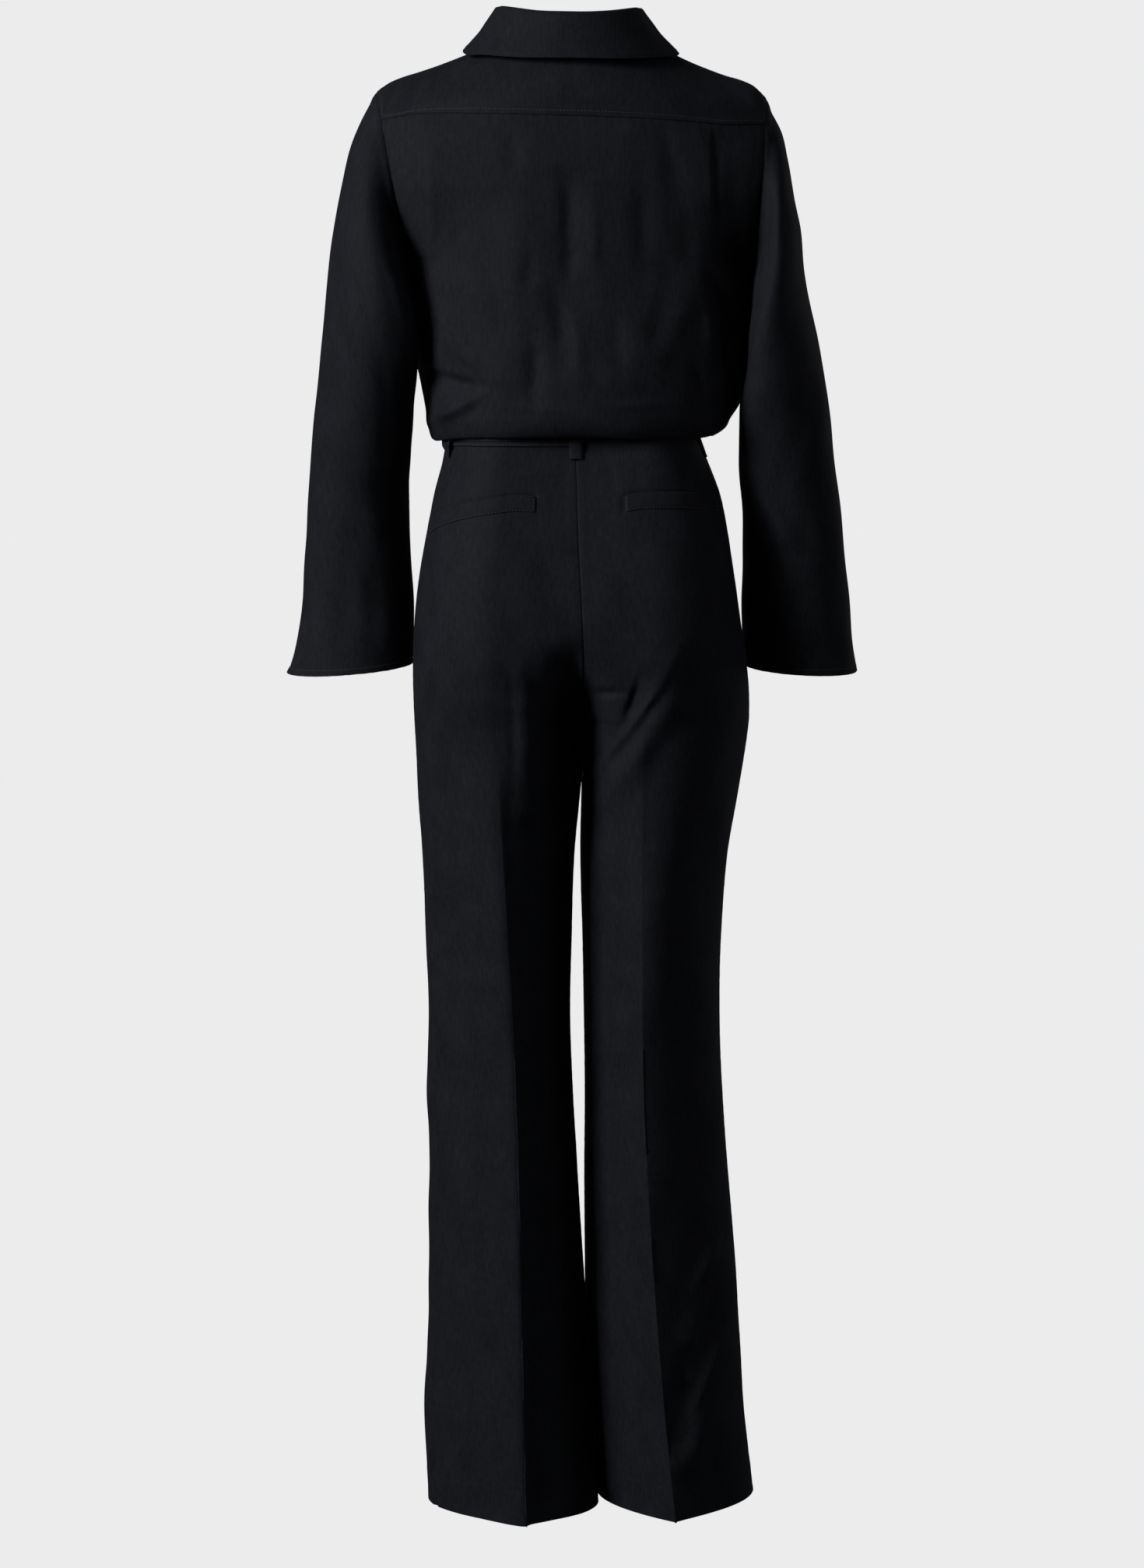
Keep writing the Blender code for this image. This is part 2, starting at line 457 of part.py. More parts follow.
def yoke_grid():
    """Rows from the neckline outward, columns from the left front yoke seam round the back to the right one."""
    outer, angles = [], []
    for k in range(YOKE_ARMHOLE_CELLS):
        share = k / YOKE_ARMHOLE_CELLS
        outer.append(armhole("left", mix(-YOKE_FRONT_ANGLE, YOKE_BACK_ANGLE, share)))
        angles.append(mix(-NECK_START_ANGLE, NECK_TURN_ANGLE, share))
    across = stations() + [-s for s in stations()[::-1][1:]]
    outer += back_upper_row(0.0, YOKE_BACK_ANGLE)
    angles += [math.degrees(math.acos(s * math.cos(math.radians(NECK_TURN_ANGLE)))) for s in across]
    for k in range(1, YOKE_ARMHOLE_CELLS + 1):
        share = k / YOKE_ARMHOLE_CELLS
        outer.append(armhole("right", mix(YOKE_BACK_ANGLE, -YOKE_FRONT_ANGLE, share)))
        angles.append(180.0 - mix(NECK_TURN_ANGLE, -NECK_START_ANGLE, share))
    rows = []
    for share in stations()[::-1]:
        row = []
        for edge, angle in zip(outer, angles):
            backness = max(math.sin(math.radians(angle)), 0.0) ** 2
            middle = 4.0 * share * (1.0 - share)
            point = neck_point(angle).lerp(edge, share)
            point.z += shoulder_rise(share, angle) * (1.0 - 0.5 * backness)
            point.y += BACK_ROUND * backness * middle
            row.append(point)
        rows.append(row)
    return rows


def collar_grid(yoke, fronts):
    """Rows from the neck seam up the stand, over the fold and down the fall's underside. The fall's lower edge is
    made from points of the yoke and the fronts, moved out."""
    left_rows = [fronts["left"][k] for k in range(COLLAR_FRONT_ROWS, 0, -1)]
    right_rows = [fronts["right"][k][::-1] for k in range(1, COLLAR_FRONT_ROWS + 1)]
    bands = left_rows + [[row[k] for row in yoke] for k in range(len(yoke[0]))] + right_rows
    sections = []
    for k, band in enumerate(bands):
        where = k / (len(bands) - 1)
        stand, lean, lift, reach = (column(COLLAR, name, where, "where") for name in ("stand", "lean", "lift", "reach"))
        i, foot = 0, band[0]
        while (band[i + 1] - band[i]).length < reach:
            reach -= (band[i + 1] - band[i]).length
            i += 1
        foot = band[i].lerp(band[i + 1], reach / (band[i + 1] - band[i]).length)
        beside = bands[min(k + 1, len(bands) - 1)][i] - bands[max(k - 1, 0)][i]
        up = (band[i + 1] - band[i]).cross(beside).normalized()
        edge = foot + up * (lift + CLOTH)
        base = band[0]
        away = Vector((edge.x - base.x, edge.y - base.y, 0.0)).normalized()
        top = base + Vector((0.0, 0.0, stand)) + away * lean
        shoulder = top + away * COLLAR_TURN - Vector((0.0, 0.0, 0.12 * stand))
        crown = top.lerp(shoulder, 0.5) + Vector((0.0, 0.0, 0.0016))
        mid = shoulder.lerp(edge, 0.5) + (away + Vector((0.0, 0.0, 1.0))) * (-0.02 * (shoulder - edge).length)
        section = [base, base.lerp(top, 0.5), top, crown, shoulder, shoulder.lerp(mid, 0.55), mid,
                   mid.lerp(edge, 0.55), edge]
        for point in section[2:]:
            point.z += COLLAR_TILT * point.x * 0.5
        sections.append(section)
    return [[section[k] for section in sections] for k in range(len(sections[0]))]


def sleeve_angles():
    """Column angles round a sleeve, in step with the pieces that meet it at the armhole, from the underarm."""
    front = [mix(-180.0, -YOKE_FRONT_ANGLE, k / FRONT_ARMHOLE_CELLS) for k in range(FRONT_ARMHOLE_CELLS)]
    yoke = [mix(-YOKE_FRONT_ANGLE, YOKE_BACK_ANGLE, k / YOKE_ARMHOLE_CELLS) for k in range(YOKE_ARMHOLE_CELLS)]
    back = [mix(YOKE_BACK_ANGLE, 180.0, k / BACK_ARMHOLE_CELLS) for k in range(BACK_ARMHOLE_CELLS + 1)]
    return front + yoke + back


def sleeve_grid(side):
    angles = sleeve_angles() if side == "left" else sleeve_angles()[::-1]
    grid = [[ring_point(ring, angle) for angle in angles] for ring in SLEEVES[side]]
    for row in grid:
        for point, angle in zip(row, angles):
            point.z -= SLEEVE_HEM_SAG * max(math.sin(math.radians(angle)), 0.0) * ramp(row[0].z, -0.54, -0.61)
    return grid


# ---------------------------------------------------------------- walls
class Panel:
    """A grid of points on the outside of the cloth, with an outward direction at each."""

    def __init__(self, name, grid, colour, tube=False, facing=1.0):
        self.name, self.grid, self.colour, self.tube, self.facing = name, grid, colour, tube, facing
        self.outward = None
        self.drawn = None

    def corners(self):
        """Each grid point with its row and column."""
        for i, row in enumerate(self.grid):
            for j, point in enumerate(row):
                yield i, j, point

    def sides(self):
        """The four edges, each a list of (row, column, row next to it, column next to it)."""
        last_row, last_column = len(self.grid) - 1, len(self.grid[0]) - 1
        yield [(0, j, 1, j) for j in range(last_column + 1)]
        yield [(last_row, j, last_row - 1, j) for j in range(last_column + 1)]
        if not self.tube:
            yield [(i, 0, i, 1) for i in range(last_row + 1)]
            yield [(i, last_column, i, last_column - 1) for i in range(last_row + 1)]

    def at(self, i, j):
        """Point and outward direction at a place between rows and columns."""
        row, col = min(int(i), len(self.grid) - 2), min(int(j), len(self.grid[0]) - 2)
        down, across = i - row, j - col

        def between(table):
            upper = table[row][col].lerp(table[row][col + 1], across)
            lower = table[row + 1][col].lerp(table[row + 1][col + 1], across)
            return upper.lerp(lower, down)

        return between(self.grid), between(self.outward).normalized()


def spot(point):
    return tuple(round(value * 1e5) for value in point)


def share_directions(panels):
    """Works out the outward direction at each point, shared by all panels that meet there. Each cell counts by the
    angle that it fills at the point."""
    totals = {}
    for panel in panels:
        grid = panel.grid
        for i in range(len(grid) - 1):
            for j in range(len(grid[0]) - 1):
                ring = (grid[i][j], grid[i + 1][j], grid[i + 1][j + 1], grid[i][j + 1])
                for k, point in enumerate(ring):
                    ahead, back = ring[(k + 1) % 4] - point, ring[k - 1] - point
                    angle = ahead.angle(back, 0.0)
                    direction = ahead.cross(back).normalized() * (angle * panel.facing)
                    totals[spot(point)] = totals.get(spot(point), Vector()) + direction
    for panel in panels:
        panel.outward = [[totals[spot(point)].normalized() for point in row] for row in panel.grid]


def draw_back_seams(panels):
    """Moves each sewn edge back into its own panel, by half the seam gap or more where the seam is a sharp fold."""
    owners = {}
    for panel in panels:
        for _, _, point in panel.corners():
            owners.setdefault(spot(point), set()).add(panel.name)
    pulls = {}
    for panel in panels:
        for side in panel.sides():
            keys = [owners[spot(panel.grid[i][j])] - {panel.name} for i, j, _, _ in side]
            for k, (i, j, near_i, near_j) in enumerate(side):
                neighbours = [keys[n] for n in (k - 1, k + 1) if 0 <= n < len(side)]
                if not any(keys[k] & other for other in neighbours):
                    continue
                inward = panel.grid[near_i][near_j] - panel.grid[i][j]
                before, after = side[max(k - 1, 0)], side[min(k + 1, len(side) - 1)]
                along = (panel.grid[after[0]][after[1]] - panel.grid[before[0]][before[1]]).normalized()
                outward = panel.outward[i][j]
                across = along.cross(outward).normalized()
                inward = across if across.dot(inward) > 0.0 else -across
                pulls.setdefault(spot(panel.grid[i][j]), []).append((panel.name, i, j, inward))
    moves = {}
    for entries in pulls.values():
        for name, i, j, inward in entries:
            others = [other[3] for other in entries if other[0] != name]
            closest = max((inward.dot(other) for other in others), default=-1.0)
            half_sine = math.sqrt(max((1.0 - closest) / 2.0, 0.0))
            pull = min(0.5 * SEAM_GAP / max(half_sine, 0.1), 0.0012)
            moves.setdefault((name, i, j), []).append(inward * pull)
    for panel in panels:
        panel.drawn = [[point + sum(moves.get((panel.name, i, j), []), Vector())
                        for j, point in enumerate(row)] for i, row in enumerate(panel.grid)]


def wall_object(name, outer, inner, colour, tube=False, facing=1.0):
    """A closed wall between two grids, with its edges filled in."""
    mesh = bmesh.new()
    columns = len(outer[0]) - 1 if tube else len(outer[0])
    skins = [[[mesh.verts.new(row[j]) for j in range(columns)] for row in grid] for grid in (outer, inner)]

    def triangles(a, b, c, d, flip):
        for corners in ((a, b, c), (a, c, d)):
            mesh.faces.new(corners[::-1] if flip else corners)

    def edge_face(a, b, c, d, flip):
        """An edge is split along its shorter diagonal, which both pieces at a seam share."""
        if (a.co - c.co).length > (b.co - d.co).length:
            a, b, c, d = b, c, d, a
        triangles(a, b, c, d, flip)

    turned = facing < 0.0
    rows = len(outer)
    for i in range(rows - 1):
        for j in range(columns if tube else columns - 1):
            n = (j + 1) % columns
            for skin, flip in ((skins[0], turned), (skins[1], not turned)):
                triangles(skin[i][j], skin[i + 1][j], skin[i + 1][n], skin[i][n], flip)
    for j in range(columns if tube else columns - 1):
        n = (j + 1) % columns
        edge_face(skins[0][0][n], skins[1][0][n], skins[1][0][j], skins[0][0][j], turned)
        edge_face(skins[0][-1][j], skins[1][-1][j], skins[1][-1][n], skins[0][-1][n], turned)
    if not tube:
        for i in range(rows - 1):
            edge_face(skins[0][i][0], skins[1][i][0], skins[1][i + 1][0], skins[0][i + 1][0], turned)
            edge_face(skins[0][i + 1][-1], skins[1][i + 1][-1], skins[1][i][-1], skins[0][i][-1], turned)
    data = bpy.data.meshes.new(name)
    mesh.to_mesh(data)
    mesh.free()
    data.shade_smooth()
    data.set_sharp_from_angle(angle=math.radians(40.0))
    data.materials.append(cloth_material(colour))
    thing = bpy.data.objects.new(name, data)
    bpy.context.collection.objects.link(thing)
    return thing


def cloth_material(colour):
    """Plain near-black woven cloth. Pieces of the same colour share one material."""
    label = "cloth_" + colour
    if label in bpy.data.materials:
        return bpy.data.materials[label]
    tones = {"body": (0.019, 0.020, 0.024, 1.0), "trim": (0.022, 0.023, 0.027, 1.0)}
    material = bpy.data.materials.new(label)
    material.use_nodes = True
    shader = material.node_tree.nodes["Principled BSDF"]
    shader.inputs["Base Color"].default_value = tones[colour]
    shader.inputs["Roughness"].default_value = 0.85
    shader.inputs["Metallic"].default_value = 0.0
    return material


def sewn_wall(panel):
    inner = [[point - direction * CLOTH for point, direction in zip(points, directions)]
             for points, directions in zip(panel.drawn, panel.outward)]
    return wall_object(panel.name, panel.drawn, inner, panel.colour, panel.tube, panel.facing)


def laid_wall(name, places, gaps, tube=False):
    """A strip of cloth that lies over panels. places holds (point, outward) pairs and gaps the space under each row."""
    inner = [[point + outward * gap for point, outward in row] for row, gap in zip(places, gaps)]
    outer = [[point + outward * (gap + STRAP) for point, outward in row] for row, gap in zip(places, gaps)]
    return wall_object(name, outer, inner, "trim", tube)


# ---------------------------------------------------------------- pieces that lie on the panels
def row_at(panel, z):
    """The row place of a height on a trouser panel."""
    heights = [row[0].z for row in panel.grid]
    i = max(k for k in range(len(heights) - 1) if heights[k] >= z)
    return i + (z - heights[i]) / (heights[i + 1] - heights[i])


def belt_middle(x, behind):
    """Height of the belt's middle. It hangs lower on the left of the centre loop and rides up on the right."""
    right_share = ramp(x, 0.004, -0.030) if behind else ramp(x, 0.040, -0.040)
    return mix(BELT_LEFT_Z, BELT_RIGHT_Z, right_share)


def waist_column(panel, j, behind):
    """Belt top, middle and bottom at one column of a trouser panel."""
    middle = belt_middle(panel.grid[0][j].x, behind)
    return [panel.at(row_at(panel, middle + step * BELT_HEIGHT), j) for step in (0.5, 0.0, -0.5)]


def build_belt(trousers):
    around = []
    for side, face in (("left", 1), ("right", 1), ("right", -1), ("left", -1)):
        panel = trousers[side, face]
        for j in range(len(panel.grid[0]) - 1):
            around.append(waist_column(panel, j, face > 0))
    around.append(around[0])
    places = [[entry[k] for entry in around] for k in range(3)]
    laid_wall("belt", places, [LAY_GAP] * 3, tube=True)


def build_loop(name, panel, j, span):
    """A narrow strap sewn above and below the belt, over it. span is its width in columns."""
    over = LAY_GAP * 2 + STRAP
    middle = belt_middle(panel.at(0, j)[0].x, True)
    top, bottom = middle + 0.5 * BELT_HEIGHT, middle - 0.5 * BELT_HEIGHT
    heights = [LOOP_TOP_Z, top + 0.0012, middle, bottom - 0.0012, bottom - 0.0050, LOOP_BOTTOM_Z]
    gaps = [over, over, over, over, LAY_GAP + 0.0004, LAY_GAP]
    places = [[panel.at(row_at(panel, z), j + span * (share - 0.5)) for share in (0.0, 0.5, 1.0)] for z in heights]
    laid_wall(name, places, gaps)


def build_centre_loop(trousers):
    """The centre-back loop straddles the seam between the two halves."""
    left, right = trousers["left", 1], trousers["right", 1]
    over = LAY_GAP * 2 + STRAP
    middle = belt_middle(0.0, True)
    top, bottom = BELT_LEFT_Z + 0.5 * BELT_HEIGHT, BELT_LEFT_Z - 0.5 * BELT_HEIGHT
    heights = [LOOP_TOP_Z, top + 0.0012, middle, bottom - 0.0012, bottom - 0.0050, LOOP_BOTTOM_Z]
    gaps = [over, over, over, over, LAY_GAP + 0.0004, LAY_GAP]
    last = len(left.grid[0]) - 1
    cell = (left.grid[0][last - 1] - left.grid[0][last]).length
    half = 0.5 * LOOP_WIDTH / cell
    places = []
    for z in heights:
        row = row_at(left, z)
        places.append([left.at(row, last - half), left.at(row, last), right.at(row, half)])
    laid_wall("belt_loop_back", places, gaps)


def build_welt(side, panel):
    """A single welt over a back pocket, from near the centre out towards the side seam."""
    Welt = namedtuple("Welt", "inner_place outer_place inner_z outer_z rise")
    sizes = {"left": Welt(0.56, 1.62, -0.4490, -0.4700, 0.0040), "right": Welt(0.70, 1.62, -0.4460, -0.4480, 0.0040)}
    welt = sizes[side]
    first, last = sorted(column_of(panel, place) for place in (welt.inner_place, welt.outer_place))
    columns = [first, *range(math.ceil(first), math.floor(last) + 1), last]
    places = [[], [], []]
    for j in columns:
        share = (j - first) / (last - first)
        share = 1.0 - share if side == "left" else share
        z = mix(welt.inner_z, welt.outer_z, share ** 1.6) + welt.rise * 4.0 * share * (1.0 - share)
        for row, step in zip(places, (0.5, 0.0, -0.5)):
            row.append(panel.at(row_at(panel, z + step * WELT_HEIGHT), j))
    laid_wall("welt_" + side, places, [LAY_GAP] * 3)


def column_of(panel, place):
    """The column of a trouser half's place. Left back panels start at the side seam and right ones at the centre."""
    from_side = (2.0 - place) * OUTER_CELLS if place > 1.0 else OUTER_CELLS + (1.0 - place) * INNER_CELLS
    return from_side if "left" in panel.name else len(panel.grid[0]) - 1 - from_side


def build_placket(fronts):
    """A plain strip over the front closing, from the foot of the open neck to where the blouse turns under."""
    left, right = fronts["left"], fronts["right"]
    last = len(right.grid[0]) - 1
    places = []
    for i in range(len(left.grid)):
        z = left.grid[i][0].z
        if z > PLACKET_TOP_Z or i > len(left.grid) - 6:
            continue
        cell = (left.grid[i][1] - left.grid[i][0]).length
        span = PLACKET_HALF_WIDTH / cell
        places.append([right.at(i, last - span), right.at(i, last - 0.5 * span), left.at(i, 0.0),
                       left.at(i, 0.5 * span), left.at(i, span)])
    laid_wall("front_placket", places, [LAY_GAP] * len(places))


# ---------------------------------------------------------------- the whole garment
def build():
    for thing in list(bpy.data.objects):
        bpy.data.objects.remove(thing, do_unlink=True)

    yoke = Panel("back_yoke", yoke_grid(), "body")
    back = Panel("back_bodice", back_grid(), "body")
    fronts = {side: Panel("front_" + side, front_grid(side), "body") for side in ("left", "right")}
    sleeves = [Panel("sleeve_" + side, sleeve_grid(side), "body", tube=True) for side in ("left", "right")]
    trousers = {(side, face): Panel(f"trouser_{'back' if face > 0 else 'front'}_{side}", leg_grid(side, face), "body")
                for side in ("left", "right") for face in (1, -1)}
    collar = Panel("collar", collar_grid(yoke.grid, {side: panel.grid for side, panel in fronts.items()}), "body",
                   facing=-1.0)
    panels = [yoke, back, collar, *fronts.values(), *sleeves, *trousers.values()]
    share_directions(panels)
    draw_back_seams(panels)
    for panel in panels:
        sewn_wall(panel)

    build_belt(trousers)
    build_centre_loop(trousers)
    build_loop("belt_loop_left", trousers["left", 1], 1.25, 0.42)
    build_loop("belt_loop_right", trousers["right", 1], len(trousers["right", 1].grid[0]) - 1 - 0.55, 0.42)
    for side in ("left", "right"):
        build_welt(side, trousers[side, 1])
    build_placket(fronts)


build()
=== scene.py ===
"""A black jumpsuit on an unseen wearer: thin cloth with folds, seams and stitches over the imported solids."""
import math
from collections import namedtuple

import bmesh
import bpy
import numpy as np
from mathutils import Matrix, Vector


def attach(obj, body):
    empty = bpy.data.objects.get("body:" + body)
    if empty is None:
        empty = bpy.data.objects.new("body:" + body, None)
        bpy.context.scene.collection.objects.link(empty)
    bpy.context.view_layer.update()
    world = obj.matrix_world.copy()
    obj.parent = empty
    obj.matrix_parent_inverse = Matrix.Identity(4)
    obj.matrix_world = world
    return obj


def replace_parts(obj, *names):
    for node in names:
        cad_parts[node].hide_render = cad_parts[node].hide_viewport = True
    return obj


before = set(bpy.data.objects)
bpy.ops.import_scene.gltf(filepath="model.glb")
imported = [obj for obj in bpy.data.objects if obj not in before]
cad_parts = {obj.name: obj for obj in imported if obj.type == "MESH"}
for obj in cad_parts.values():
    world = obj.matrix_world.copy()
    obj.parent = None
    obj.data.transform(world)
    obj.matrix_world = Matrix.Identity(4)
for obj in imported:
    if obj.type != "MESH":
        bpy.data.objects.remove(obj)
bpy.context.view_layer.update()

# ---------------------------------------------------------------- driving sizes, in metres
CLOTH = 0.0015             # wall of the solid panels, which the collar's fall lies clear of
LAY_GAP = 0.0005           # clear space under a piece that lies on a panel
STRAP = 0.0014             # wall of the belt, the placket and the right belt loop

WAIST_Z = -0.360           # waist seam, hidden under the blouse of the bodice
CROTCH_Z = -0.660
CROTCH_CURVE_TOP = -0.555  # where the centre seam starts to turn under
THIGH_Z = -0.780           # where the slope from the seat to the inside of the thigh ends
CROTCH_TURN = 1.8          # how tightly the centre seam turns under: 1 is a straight slope, 2 an oval
INNER_SEAM_CLEAR = -0.0010 # half the space between the inside seams at the crotch: below zero, they overlap
CENTRE_DIP = 0.97          # depth at the centre seam, as a share of the depth at the crease
HEM_Z = -1.459
HEM_LIFT_CREASE, HEM_LIFT_SIDE = 0.004, 0.009    # the right hem hangs higher, most at its side seam
UNDERARM_Z = -0.216

OUTER_CELLS = 5            # columns from a side seam to the crease
INNER_CELLS = 4            # columns from the crease to a centre or inside seam
BACK_ARMHOLE_CELLS = 9     # armhole from the yoke seam down to the underarm
YOKE_ARMHOLE_CELLS = 5     # armhole over the shoulder, from the front yoke seam to the back one
FRONT_ARMHOLE_CELLS = 10   # armhole from the front yoke seam down to the underarm
YOKE_BACK_ANGLE = 48.0     # where the yoke seams meet the armhole, in degrees from its top
YOKE_FRONT_ANGLE = 30.0

# ---------------------------------------------------------------- sections, from the top down
Leg = namedtuple("Leg", "z outer_left crease_left inner_left inner_right crease_right outer_right back front "
                        "sharp")
LEGS = [
    Leg(-0.360, 0.1205, 0.0600, -0.0030, -0.0030, -0.0660, -0.1200, 0.0810, -0.0910, 0.00),
    Leg(-0.385, 0.1230, 0.0610, -0.0035, -0.0035, -0.0670, -0.1240, 0.0840, -0.0930, 0.00),
    Leg(-0.410, 0.1275, 0.0630, -0.0040, -0.0040, -0.0680, -0.1340, 0.0910, -0.0960, 0.00),
    Leg(-0.440, 0.1355, 0.0660, -0.0050, -0.0050, -0.0700, -0.1455, 0.1010, -0.0990, 0.00),
    Leg(-0.475, 0.1425, 0.0690, -0.0060, -0.0060, -0.0730, -0.1530, 0.1110, -0.1020, 0.00),
    Leg(-0.515, 0.1495, 0.0720, -0.0080, -0.0080, -0.0760, -0.1590, 0.1200, -0.1040, 0.00),
    Leg(-0.555, 0.1545, 0.0750, -0.0100, -0.0100, -0.0780, -0.1650, 0.1250, -0.1040, 0.05),
    Leg(-0.595, 0.1570, 0.0760, -0.0115, -0.0115, -0.0780, -0.1710, 0.1240, -0.1030, 0.10),
    Leg(-0.630, 0.1575, 0.0760, -0.0115, -0.0115, -0.0760, -0.1750, 0.1170, -0.1020, 0.20),
    Leg(-0.660, 0.1565, 0.0740, -0.0110, -0.0110, -0.0730, -0.1755, 0.1090, -0.1010, 0.35),
    Leg(-0.672, 0.1560, 0.0733, -0.0110, -0.0110, -0.0725, -0.1744, 0.1072, -0.1007, 0.40),
    Leg(-0.700, 0.1545, 0.0720, -0.0112, -0.0098, -0.0710, -0.1705, 0.1040, -0.1000, 0.50),
    Leg(-0.740, 0.1530, 0.0705, -0.0075, -0.0095, -0.0700, -0.1645, 0.1010, -0.0980, 0.65),
    Leg(-0.800, 0.1490, 0.0670, -0.0020, -0.0085, -0.0690, -0.1545, 0.0980, -0.0950, 0.80),
    Leg(-0.880, 0.1460, 0.0620, 0.0005, -0.0105, -0.0690, -0.1490, 0.0950, -0.0920, 0.90),
    Leg(-0.960, 0.1440, 0.0575, 0.0020, -0.0120, -0.0690, -0.1480, 0.0930, -0.0900, 0.95),
    Leg(-1.040, 0.1440, 0.0545, -0.0010, -0.0130, -0.0710, -0.1510, 0.0920, -0.0880, 1.00),
    Leg(-1.120, 0.1440, 0.0520, -0.0055, -0.0125, -0.0750, -0.1570, 0.0920, -0.0880, 1.00),
    Leg(-1.200, 0.1440, 0.0505, -0.0105, -0.0130, -0.0800, -0.1640, 0.0930, -0.0880, 1.00),
    Leg(-1.280, 0.1460, 0.0490, -0.0150, -0.0140, -0.0860, -0.1690, 0.0940, -0.0890, 1.00),
    Leg(-1.360, 0.1495, 0.0475, -0.0200, -0.0185, -0.0930, -0.1740, 0.0950, -0.0900, 1.00),
    Leg(-1.420, 0.1475, 0.0460, -0.0240, -0.0225, -0.0990, -0.1800, 0.0955, -0.0905, 1.00),
    Leg(HEM_Z, 0.1460, 0.0450, -0.0265, -0.0250, -0.1030, -0.1840, 0.0960, -0.0910, 1.00),
]

Torso = namedtuple("Torso", "z left right back front side")
TORSO = [
    Torso(UNDERARM_Z, 0.1580, -0.1760, 0.1015, -0.1240, -0.006),
    Torso(-0.240, 0.1612, -0.1803, 0.1030, -0.1270, -0.015),
    Torso(-0.270, 0.1600, -0.1810, 0.1050, -0.1300, -0.022),
    Torso(-0.302, 0.1560, -0.1785, 0.1080, -0.1280, -0.021),
    Torso(-0.330, 0.1495, -0.1725, 0.1100, -0.1240, -0.016),
    Torso(-0.352, 0.1450, -0.1655, 0.1095, -0.1195, -0.010),
]
# The blouse turns under and back up to the waist seam. Each row: how far out it still is, from 0 at the seam
# to 1, and how much lower it hangs at the left side.
Blouse = namedtuple("Blouse", "z left back right front left_drop")
BLOUSE = [
    Blouse(-0.3660, 0.90, 0.97, 0.80, 0.95, 0.0005),
    Blouse(-0.3760, 0.83, 0.86, 0.685, 0.85, 0.0020),
    Blouse(-0.3830, 0.71, 0.68, 0.46, 0.68, 0.0035),
    Blouse(-0.3842, 0.54, 0.54, 0.36, 0.54, 0.0035),
    Blouse(-0.3790, 0.40, 0.42, 0.28, 0.42, 0.0015),
    Blouse(-0.3700, 0.31, 0.33, 0.20, 0.33, 0.0000),
    Blouse(-0.3625, 0.19, 0.20, 0.12, 0.20, 0.0000),
    Blouse(WAIST_Z, 0.00, 0.00, 0.00, 0.00, 0.0000),
]
# Centre back from the yoke seam to the underarm, and the front opening's edge from the neckline to the bust.
Spine = namedtuple("Spine", "y z")
SPINE = [Spine(0.0940, -0.079), Spine(0.0985, -0.112), Spine(0.1005, -0.145), Spine(0.1010, -0.180),
         Spine(0.1015, UNDERARM_Z)]
Opening = namedtuple("Opening", "x y z")
OPENING = [Opening(0.0600, -0.052, -0.027), Opening(0.0520, -0.076, -0.052), Opening(0.0390, -0.094, -0.079),
           Opening(0.0245, -0.106, -0.106), Opening(0.0100, -0.114, -0.131), Opening(0.0000, -0.118, -0.152),
           Opening(0.0000, -0.120, -0.170), Opening(0.0000, -0.122, -0.186), Opening(0.0000, -0.123, -0.202),
           Opening(0.0000, -0.124, UNDERARM_Z)]

